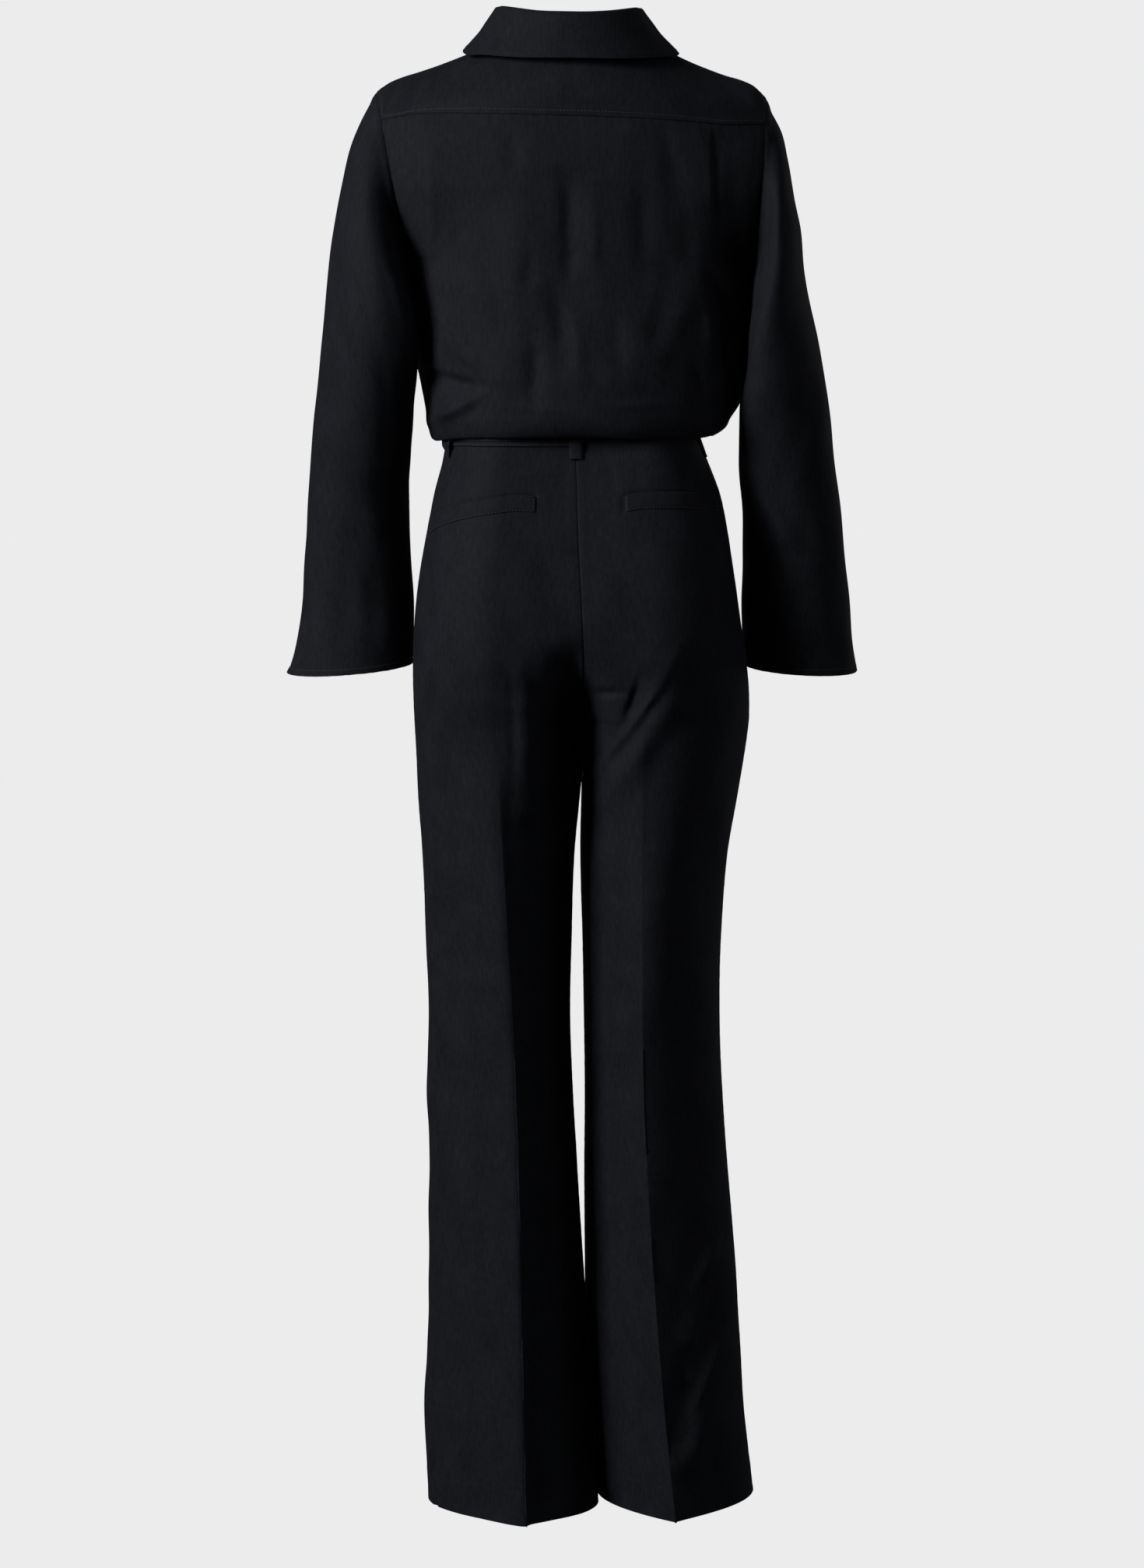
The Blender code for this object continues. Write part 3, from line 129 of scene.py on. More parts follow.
# Sleeve rings, from the armhole to the hem. Outer and inner are the ring's two ends as seen from behind, and
# inner_back is how far the inner end lies behind the middle, where it hangs over the side of the body.
Ring = namedtuple("Ring", "outer_x outer_z inner_x inner_z middle_y half_depth inner_back")
SLEEVES = {
    "left": [
        Ring(0.1900, -0.052, 0.1580, -0.216, -0.006, 0.058, 0.000),
        Ring(0.1965, -0.062, 0.1568, -0.2185, -0.005, 0.060, 0.001),
        Ring(0.2070, -0.082, 0.1560, -0.2235, -0.002, 0.062, 0.006),
        Ring(0.2160, -0.106, 0.1566, -0.231, 0.004, 0.061, 0.015),
        Ring(0.2228, -0.137, 0.1566, -0.242, 0.010, 0.060, 0.024),
        Ring(0.2296, -0.175, 0.1530, -0.258, 0.015, 0.058, 0.031),
        Ring(0.2362, -0.217, 0.1500, -0.280, 0.017, 0.056, 0.031),
        Ring(0.2428, -0.275, 0.1500, -0.314, 0.015, 0.053, 0.026),
        Ring(0.2490, -0.335, 0.1547, -0.354, 0.008, 0.051, 0.016),
        Ring(0.2562, -0.395, 0.1590, -0.402, -0.003, 0.050, 0.007),
        Ring(0.2612, -0.445, 0.1605, -0.447, -0.014, 0.049, 0.000),
        Ring(0.2652, -0.500, 0.1596, -0.500, -0.023, 0.049, 0.000),
        Ring(0.2690, -0.550, 0.1575, -0.549, -0.029, 0.050, 0.000),
        Ring(0.2748, -0.587, 0.1572, -0.583, -0.032, 0.051, 0.000),
        Ring(0.2805, -0.609, 0.1582, -0.604, -0.033, 0.052, 0.000),
        Ring(0.2850, -0.6195, 0.1588, -0.610, -0.033, 0.052, 0.000),
    ],
    "right": [
        Ring(-0.1890, -0.0585, -0.1760, -0.216, -0.006, 0.058, 0.000),
        Ring(-0.1955, -0.071, -0.1780, -0.2185, -0.005, 0.060, 0.001),
        Ring(-0.2040, -0.090, -0.1784, -0.224, -0.002, 0.062, 0.006),
        Ring(-0.2100, -0.114, -0.1780, -0.232, 0.004, 0.061, 0.015),
        Ring(-0.2150, -0.142, -0.1772, -0.243, 0.009, 0.060, 0.024),
        Ring(-0.2220, -0.178, -0.1760, -0.259, 0.013, 0.058, 0.031),
        Ring(-0.2268, -0.219, -0.1725, -0.282, 0.015, 0.056, 0.031),
        Ring(-0.2376, -0.277, -0.1682, -0.318, 0.013, 0.053, 0.026),
        Ring(-0.2490, -0.337, -0.1620, -0.358, 0.008, 0.051, 0.020),
        Ring(-0.2580, -0.397, -0.1640, -0.405, -0.005, 0.050, 0.007),
        Ring(-0.2648, -0.447, -0.1685, -0.450, -0.016, 0.049, 0.000),
        Ring(-0.2718, -0.502, -0.1700, -0.503, -0.025, 0.049, 0.000),
        Ring(-0.2768, -0.552, -0.1685, -0.552, -0.031, 0.050, 0.000),
        Ring(-0.2807, -0.588, -0.1695, -0.585, -0.034, 0.051, 0.000),
        Ring(-0.2838, -0.610, -0.1715, -0.605, -0.035, 0.052, 0.000),
        Ring(-0.2850, -0.618, -0.1730, -0.6125, -0.035, 0.052, 0.000),
    ],
}
SLEEVE_HEM_SAG = 0.004     # the back of a sleeve's hem hangs lower than its ends

# The neckline: half an oval round the back of the neck, which drops towards the centre back.
NECK_HALF_WIDTH, NECK_HALF_DEPTH, NECK_DROP = 0.068, 0.062, 0.014
NECK_FRONT_DROP = 0.0145   # how steeply it drops in front of the side
NECK_START_ANGLE = 24.8    # in front of the side, where the front yoke seam starts, in degrees
NECK_TURN_ANGLE = 20.0     # behind the side, where the armhole part of the yoke ends
SHOULDER_RISE = {"left": 0.0125, "right": 0.0190}    # how far each shoulder stands above a straight line
SOFTEN_PASSES, SOFTEN_ROWS = 6, 4
BACK_ROUND = 0.012         # how far the upper back stands out
OPEN_BOW, RING_BOW = 2.4, 2.2    # how squarely the bodice turns, above the underarm and below
BODY_SHIFT = -0.003        # the middle of the waist stands this far to the right
CREASE_STATION = 0.51      # where the trousers' crease meets the bodice, from the centre to the side
YOKE_SEAM_SLOPE = 0.030    # the yoke seam sits higher on the wearer's left

# The collar, by its place round the neck: the stand's height and lean, the fall's lift off the panel, and how
# far out its edge lies.
Fall = namedtuple("Fall", "where stand lean lift reach")
COLLAR = [
    Fall(0.00, 0.006, 0.0010, 0.0030, 0.046),
    Fall(0.07, 0.014, 0.0020, 0.0030, 0.044),
    Fall(0.16, 0.026, 0.0035, 0.0025, 0.036),
    Fall(0.25, 0.029, 0.0040, 0.0025, 0.041),
    Fall(0.50, 0.0335, 0.0045, 0.0075, 0.024),
    Fall(0.75, 0.029, -0.0025, 0.0025, 0.039),
    Fall(0.84, 0.026, 0.0000, 0.0025, 0.036),
    Fall(0.93, 0.014, 0.0010, 0.0030, 0.044),
    Fall(1.00, 0.006, 0.0010, 0.0030, 0.046),
]
COLLAR_TURN = 0.0042       # across the fold at the collar's top, inside
COLLAR_FRONT_ROWS = 5      # rows of the front opening that the collar follows
COLLAR_TILT = 0.018        # the collar sits a little higher on the wearer's left
COLLAR_CROWN = 0.0016      # how far the fold stands above the stand
FALL_START = 0.12          # where the fall starts down from the fold, as a share of the stand
FALL_SAG = 0.02            # the fall's hollow, as a share of its length


def in_metres(table):
    return {name: [[value / 1000 for value in row] for row in rows] for name, rows in table.items()}


# Largest folds of each face, in millimetres: x and z of both ends, width and height. Each is a soft ridge, or
# a trough where its height is below zero.
FOLDS = in_metres({
    "back": [
        (-136, -84, -134, -200, 10, 2.8),    # right tuck under the yoke
        (140, -84, 136, -230, 12, 1.8),      # left tuck
        (8, -150, 6, -205, 16, -3),
        (6, -235, 12, -300, 18, -3),
        (36, -285, 40, -345, 18, -3.5),
        (-140, -255, -136, -300, 22, 4.5),
        (-148, -195, -160, -265, 16, -3.5),
        (132, -318, 98, -340, 16, -4.5),
        (100, -300, 126, -368, 18, 3),
    ],
    "front": [
        (60, -260, 50, -345, 18, -3.5),
        (-72, -250, -60, -350, 20, -4),
        (-110, -290, -105, -360, 16, 3),
        (110, -300, 112, -360, 16, 3),
    ],
    "seat": [
        (-96, -640, -30, -735, 14, 5.5),    # drag line from the crotch, right
        (-68, -640, -40, -690, 12, -4.5),
        (50, -645, 44, -745, 13, 4),        # upright fold, left
        (27, -630, 24, -700, 12, -3.5),
        (120, -1120, 90, -1260, 18, 3.5),
        (-145, -1205, -118, -1275, 14, 4.5),
        (-155, -1300, -112, -1400, 16, 5),
        (-113, -1330, -108, -1370, 14, -3.5),
    ],
    "lap": [
        (-40, -640, -100, -600, 16, -4.5),
        (34, -640, 92, -605, 16, -4.5),
        (110, -1180, 90, -1290, 18, 3.5),
        (-130, -1250, -110, -1360, 18, 3.5),
    ],
})

# Pieces on the trousers
BELT_HEIGHT = 0.0140
BELT_LEFT_Z, BELT_RIGHT_Z = -0.3860, -0.3750     # the belt's middle, which rides up on the right
LOOP_WIDTH, LOOP_TOP_Z, LOOP_BOTTOM_Z = 0.013, -0.3665, -0.4050
WELT_HEIGHT = 0.0155
PLACKET_HALF_WIDTH, PLACKET_TOP_Z, PLACKET_FOOT_Z = 0.015, -0.158, -0.3835


# ---------------------------------------------------------------- smooth curves through the tables
def mix(a, b, share):
    return a + (b - a) * share


def ramp(value, start, end):
    """0 at start and before it, 1 at end and past it, with a smooth turn between."""
    share = min(max((value - start) / (end - start), 0.0), 1.0)
    return share * share * (3.0 - 2.0 * share)


def smooth_value(keys, values, key):
    """The value at a key, on a smooth curve through the rows. The keys all rise or all fall."""
    last = len(keys) - 1
    falling = keys[-1] < keys[0]
    i = 0
    while i < last - 1 and (key < keys[i + 1] if falling else key > keys[i + 1]):
        i += 1
    step = keys[i + 1] - keys[i]
    share = min(max((key - keys[i]) / step, 0.0), 1.0)

    def slope(k):
        low, high = max(k - 1, 0), min(k + 1, last)
        return (values[high] - values[low]) / (keys[high] - keys[low])

    square, cube = share * share, share ** 3
    return (values[i] * (2 * cube - 3 * square + 1) + values[i + 1] * (3 * square - 2 * cube)
            + slope(i) * step * (cube - 2 * square + share) + slope(i + 1) * step * (cube - square))


def column(rows, name, key, by="z"):
    return smooth_value([getattr(row, by) for row in rows], [getattr(row, name) for row in rows], key)


def fold_height(face, point):
    """How far the folds of one face push a point of the cloth out or in."""
    total = 0.0
    for x1, z1, x2, z2, width, height in FOLDS[face]:
        run_x, run_z = x2 - x1, z2 - z1
        length = math.hypot(run_x, run_z)
        along = ((point.x - x1) * run_x + (point.z - z1) * run_z) / length
        aside = ((point.x - x1) * run_z - (point.z - z1) * run_x) / length
        past = max(-along, along - length, 0.0)
        total += height * math.exp(-(aside * aside + past * past) / width ** 2)
    return total


# ---------------------------------------------------------------- trousers
def centre_seam_y(face, z):
    """The centre seam in side view: down the back or front, then under to the crotch. Below that, the inside
    seams of the two legs pass one behind the other."""
    peak = column(LEGS, "back" if face > 0 else "front", z)
    drop = (CROTCH_CURVE_TOP - z) / (CROTCH_CURVE_TOP - CROTCH_Z)
    if drop <= 0.0:
        return CENTRE_DIP * peak
    return CENTRE_DIP * peak * (1.0 - min(drop, 1.0) ** CROTCH_TURN) ** (1.0 / CROTCH_TURN)


def leg_point(side, face, z, place):
    """A point of a trouser half. place is 0 at the centre or inside seam, 1 at the crease, 2 at the side."""
    crease = column(LEGS, "crease_" + side, z)
    sharp = column(LEGS, "sharp", z)
    back, front = column(LEGS, "back", z), column(LEGS, "front", z)
    peak = back if face > 0 else front
    if place > 1.0:
        outer = column(LEGS, "outer_" + side, z)
        seam_angle = 17.0 * ramp(z, -0.80, -1.04) if side == "left" else 0.0
        angle = math.radians(90.0 - (place - 1.0) * (90.0 - face * seam_angle))
        if angle < 0.0:
            angle, peak = -angle, back
        width = mix(math.cos(angle), math.cos(angle) ** 2, sharp)
        return Vector((mix(crease, outer, width), peak * math.sin(angle), z))
    clear = INNER_SEAM_CLEAR * (ramp(z, -0.640, -0.655) - ramp(z, -0.672, -0.700))
    inner = column(LEGS, "inner_" + side, z) + (clear if side == "left" else -clear)
    seam_y = centre_seam_y(face, z) if z > CROTCH_Z else 0.0
    slope_y = CENTRE_DIP * peak * (1.0 - ramp(z, CROTCH_CURVE_TOP, THIGH_Z))
    seam_y = mix(seam_y, slope_y, ramp(place, 0.0, 0.6))
    stagger = 0.015 * ramp(z, CROTCH_Z, -0.72)
    seam_y += stagger if side == "left" else -stagger
    angle = math.radians(90.0 * place)
    hip = 1.0 - ramp(z, -0.60, -0.74)
    width = mix(mix(math.cos(angle), math.cos(angle) ** 2, sharp), 1.0 - place, hip)
    depth = mix(math.sin(angle), 1.0 - (1.0 - place) ** 2, hip)
    return Vector((mix(crease, inner, width), mix(seam_y, peak, depth), z))


def half_places():
    """Column places of a trouser half, from the side seam to the centre seam."""
    outer = [2.0 - k / OUTER_CELLS for k in range(OUTER_CELLS)]
    return outer + [1.0 - k / INNER_CELLS for k in range(INNER_CELLS + 1)]


# ---------------------------------------------------------------- bodice
def stations():
    """Places across half a bodice: 1 at the side, 0 at the centre, in step with the trousers' columns."""
    turns = [math.radians(90.0 * k / OUTER_CELLS) for k in range(OUTER_CELLS)]
    outer = [mix(CREASE_STATION, 1.0, math.cos(turn)) for turn in turns]
    return outer + [CREASE_STATION * (1.0 - k / INNER_CELLS) for k in range(INNER_CELLS + 1)]


def off_side(station):
    """Keeps folds off the side seams and the armholes."""
    return ramp(station, 1.0, 0.92)


def armhole(side, angle):
    """The armhole seam, 0 degrees at the shoulder, 90 at the back and 180 at the underarm."""
    ring = SLEEVES[side][0]
    return ring_point(ring, angle)


def ring_point(ring, angle):
    """A point of a sleeve's oval ring: 0 degrees at its outer end, 90 at the back, 180 at its inner end."""
    turn = math.radians(angle)
    outer_share = 0.5 + 0.5 * math.cos(turn)
    return Vector((mix(ring.inner_x, ring.outer_x, outer_share),
                   ring.middle_y + ring.half_depth * math.sin(turn) + ring.inner_back * (1.0 - outer_share),
                   mix(ring.inner_z, ring.outer_z, outer_share)))


def bow(station, roundness):
    """How deep the cloth is at a station: 1 at the centre, 0 at the side. roundness 1 closes the ring."""
    open_curve = 1.0 - station ** OPEN_BOW
    ring_curve = (1.0 - station ** RING_BOW) ** (1.0 / RING_BOW)
    return mix(open_curve, ring_curve, roundness)


def upper_point(centre, edge, station, roundness):
    """A point of a row that runs from the centre or the opening's edge to the armhole."""
    return Vector((mix(centre.x, edge.x, station), mix(edge.y, centre.y, bow(station, roundness)),
                   mix(centre.z, edge.z, station ** 3)))


def shoulder_rise(share, neck_angle):
    """Rise above the straight line, by the share of the way out and the angle at the neck it starts from."""
    rise = mix(SHOULDER_RISE["right"], SHOULDER_RISE["left"], 0.5 + 0.5 * math.cos(math.radians(neck_angle)))
    return rise * share ** 3 * (1.0 - share ** 10)


def torso_point(side, face, z, station):
    """A point of the closed ring round the body between the underarm and the blouse."""
    edge_x, side_y = column(TORSO, side, z), column(TORSO, "side", z)
    peak = column(TORSO, "back" if face > 0 else "front", z)
    centre_x = BODY_SHIFT * ramp(z, UNDERARM_Z, WAIST_Z)
    return Vector((mix(centre_x, edge_x, station), mix(side_y, peak, bow(station, 1.0)), z))


def lower_rows(side, face):
    """The rows of half a bodice below the underarm, from the side to the centre, down to the waist seam."""
    name = "back" if face > 0 else "front"
    rows = []
    for section in TORSO[1:]:
        rows.append([torso_point(side, face, section.z, station) for station in stations()])
    blouse = rows[-1]
    waist = [leg_point(side, face, WAIST_Z, place) for place in half_places()]
    for section in BLOUSE:
        row = []
        for station, outside, seam in zip(stations(), blouse, waist):
            share = mix(getattr(section, name), getattr(section, side), station ** 4)
            drop = section.left_drop * station ** 4 if side == "left" else 0.0
            row.append(Vector((mix(seam.x, outside.x, share), mix(seam.y, outside.y, share),
                               section.z - drop)))
        rows.append(row)
    for row in rows[:-5]:
        for point, station in zip(row, stations()):
            point.y += face * fold_height(name, point) * off_side(station)
    return rows


def back_upper_row(share, angle):
    """One row of the back above the underarm, from the left armhole to the right one."""
    keys = [k / (len(SPINE) - 1) for k in range(len(SPINE))]
    centre = Vector((0.0, smooth_value(keys, [s.y for s in SPINE], share),
                     mix(SPINE[0].z, UNDERARM_Z, share)))
    left = [upper_point(centre, armhole("left", angle), s, share) for s in stations()]
    right = [upper_point(centre, armhole("right", angle), s, share) for s in stations()[::-1]]
    row = left + right[1:]
    for point, station in zip(row, stations() + stations()[::-1][1:]):
        point.z += YOKE_SEAM_SLOPE * point.x * (1.0 - share) * ramp(station, 1.0, 0.75)
        point.y += fold_height("back", point) * ramp(share, 0.0, 0.12) * off_side(station)
    return row


def soften(rows, middle_row, places):
    """Evens out the change of slope at the underarm. places gives each column's share, 0 where it stays."""
    for _ in range(SOFTEN_PASSES):
        for i in range(middle_row - SOFTEN_ROWS, middle_row + SOFTEN_ROWS):
            for above, point, below, place in zip(rows[i - 1], rows[i], rows[i + 1], places):
                share = (above.z - point.z) / (above.z - below.z)
                point.y += 0.5 * place * (mix(above.y, below.y, share) - point.y)


def back_grid():
    cells = BACK_ARMHOLE_CELLS
    rows = [back_upper_row(k / cells, mix(YOKE_BACK_ANGLE, 180.0, k / cells)) for k in range(cells + 1)]
    for left, right in zip(lower_rows("left", 1), lower_rows("right", 1)):
        rows.append(left + right[::-1][1:])
    half = [ramp(station, 1.0, 0.8) for station in stations()]
    soften(rows, cells, half + half[::-1][1:])
    return rows


def front_grid(side):
    """Rows from the opening's edge to the armhole, as seen from outside."""
    sign = 1.0 if side == "left" else -1.0
    rows = []
    for k in range(FRONT_ARMHOLE_CELLS + 1):
        share = k / FRONT_ARMHOLE_CELLS
        edge = armhole(side, -mix(YOKE_FRONT_ANGLE, 180.0, share))
        start = OPENING[k - 1] if k else neck_point(-NECK_START_ANGLE)
        centre = Vector((sign * start.x, start.y, start.z))
        row = []
        for station in stations()[::-1]:
            point = upper_point(centre, edge, station, share)
            rise = shoulder_rise(station, -NECK_START_ANGLE if side == "left" else 180.0 + NECK_START_ANGLE)
            straight = centre.lerp(edge, station) + Vector((0.0, 0.0, rise))
            point = straight.lerp(point, ramp(share, 0.0, 0.45))
            point.y -= fold_height("front", point) * ramp(share, 0.5, 0.8) * off_side(station)
            row.append(point)
        rows.append(row)
    rows += [row[::-1] for row in lower_rows(side, -1)]
    soften(rows, FRONT_ARMHOLE_CELLS, [ramp(station, 1.0, 0.8) for station in stations()[::-1]])
    return rows if side == "left" else [row[::-1] for row in rows]


# ---------------------------------------------------------------- yoke, collar and sleeves
def neck_point(angle):
    """The neckline, 0 degrees at the left side of the neck and 90 at the centre back."""
    turn = math.radians(angle)
    return Vector((NECK_HALF_WIDTH * math.cos(turn), NECK_HALF_DEPTH * math.sin(turn),
                   -NECK_DROP * max(math.sin(turn), 0.0) ** 2 + NECK_FRONT_DROP * min(math.sin(turn), 0.0)))


def yoke_grid():
    """Rows from the neckline outward, columns from the left front yoke seam round the back to the right."""
    outer, angles = [], []
    for k in range(YOKE_ARMHOLE_CELLS):
        share = k / YOKE_ARMHOLE_CELLS
        outer.append(armhole("left", mix(-YOKE_FRONT_ANGLE, YOKE_BACK_ANGLE, share)))
        angles.append(mix(-NECK_START_ANGLE, NECK_TURN_ANGLE, share))
    across = stations() + [-s for s in stations()[::-1][1:]]
    outer += back_upper_row(0.0, YOKE_BACK_ANGLE)
    angles += [math.degrees(math.acos(s * math.cos(math.radians(NECK_TURN_ANGLE)))) for s in across]
    for k in range(1, YOKE_ARMHOLE_CELLS + 1):
        share = k / YOKE_ARMHOLE_CELLS
        outer.append(armhole("right", mix(YOKE_BACK_ANGLE, -YOKE_FRONT_ANGLE, share)))
        angles.append(180.0 - mix(NECK_TURN_ANGLE, -NECK_START_ANGLE, share))
    rows = []
    for share in stations()[::-1]:
        row = []
        for edge, angle in zip(outer, angles):
            backness = max(math.sin(math.radians(angle)), 0.0) ** 2
            middle = 4.0 * share * (1.0 - share)
            point = neck_point(angle).lerp(edge, share)
            point.z += shoulder_rise(share, angle) * (1.0 - 0.5 * backness)
            point.y += BACK_ROUND * backness * middle
            row.append(point)
        rows.append(row)
    return rows


def collar_grid(yoke, fronts):
    """Rows from the neck seam up the stand, over the fold and down the fall. The fall's lower edge is made
    from points of the yoke and the fronts, moved out."""
    left_rows = [fronts["left"][k] for k in range(COLLAR_FRONT_ROWS, 0, -1)]
    right_rows = [fronts["right"][k][::-1] for k in range(1, COLLAR_FRONT_ROWS + 1)]
    bands = left_rows + [[row[k] for row in yoke] for k in range(len(yoke[0]))] + right_rows
    sections = []
    for k, band in enumerate(bands):
        where = k / (len(bands) - 1)
        stand, lean, lift, reach = (column(COLLAR, name, where, "where")
                                    for name in ("stand", "lean", "lift", "reach"))
        i = 0
        while (band[i + 1] - band[i]).length < reach:
            reach -= (band[i + 1] - band[i]).length
            i += 1
        foot = band[i].lerp(band[i + 1], reach / (band[i + 1] - band[i]).length)
        beside = bands[min(k + 1, len(bands) - 1)][i] - bands[max(k - 1, 0)][i]
        up = (band[i + 1] - band[i]).cross(beside).normalized()
        edge = foot + up * (lift + CLOTH)
        base = band[0]
        away = Vector((edge.x - base.x, edge.y - base.y, 0.0)).normalized()
        top = base + Vector((0.0, 0.0, stand)) + away * lean
        shoulder = top + away * COLLAR_TURN - Vector((0.0, 0.0, FALL_START * stand))
        crown = top.lerp(shoulder, 0.5) + Vector((0.0, 0.0, COLLAR_CROWN))
        sag = -FALL_SAG * (shoulder - edge).length
        mid = shoulder.lerp(edge, 0.5) + (away + Vector((0.0, 0.0, 1.0))) * sag
        section = [base, base.lerp(top, 0.5), top, crown, shoulder, shoulder.lerp(mid, 0.55), mid,
                   mid.lerp(edge, 0.55), edge]
        for point in section[2:]:
            point.z += COLLAR_TILT * point.x * 0.5
        sections.append(section)
    return [[section[k] for section in sections] for k in range(len(sections[0]))]


def sleeve_angles():
    """Angles round a sleeve from the underarm, in step with the pieces that meet it at the armhole."""
    front = [mix(-180.0, -YOKE_FRONT_ANGLE, k / FRONT_ARMHOLE_CELLS) for k in range(FRONT_ARMHOLE_CELLS)]
    top = [mix(-YOKE_FRONT_ANGLE, YOKE_BACK_ANGLE, k / YOKE_ARMHOLE_CELLS) for k in range(YOKE_ARMHOLE_CELLS)]
    behind = [mix(YOKE_BACK_ANGLE, 180.0, k / BACK_ARMHOLE_CELLS) for k in range(BACK_ARMHOLE_CELLS + 1)]
    return front + top + behind


def sleeve_grid(side):
    angles = sleeve_angles() if side == "left" else sleeve_angles()[::-1]
    grid = [[ring_point(ring, angle) for angle in angles] for ring in SLEEVES[side]]
    for row in grid:
        for point, angle in zip(row, angles):
            behind = max(math.sin(math.radians(angle)), 0.0)
            point.z -= SLEEVE_HEM_SAG * behind * ramp(row[0].z, -0.54, -0.61)
    return grid


def belt_middle(x, behind):
    """Height of the belt's middle, which hangs lower on the left of the centre loop."""
    right_share = ramp(x, 0.004, -0.030) if behind else ramp(x, 0.040, -0.040)
    return mix(BELT_LEFT_Z, BELT_RIGHT_Z, right_share)


# ---------------------------------------------------------------- fine cloth
THICK = 0.0011             # wall of the shown cloth
RIM_ROUND = 0.38           # how far a rim bulges, as a share of the wall
CALM_EDGE = 0.016          # waves and creases fade out this near to an edge
WAVES, SHORTEST_WAVE, LONGEST_WAVE = 18, 0.028, 0.110
WAVE_UPRIGHT = 0.55        # how much a wave turns upright, against sideways
WAVE_SUM = 0.21            # what the waves' heights are divided by
HEM_DEPTH, CUFF_STITCH, TOP_STITCH = 0.034, 0.0060, 0.0048
LINE_SPACE = 0.38          # least space between two lines, as a share of the spacing
EDGE_STEPS = [0.0005, 0.0011, 0.0018, 0.0032, 0.0041, 0.0048, 0.0055, 0.0075]

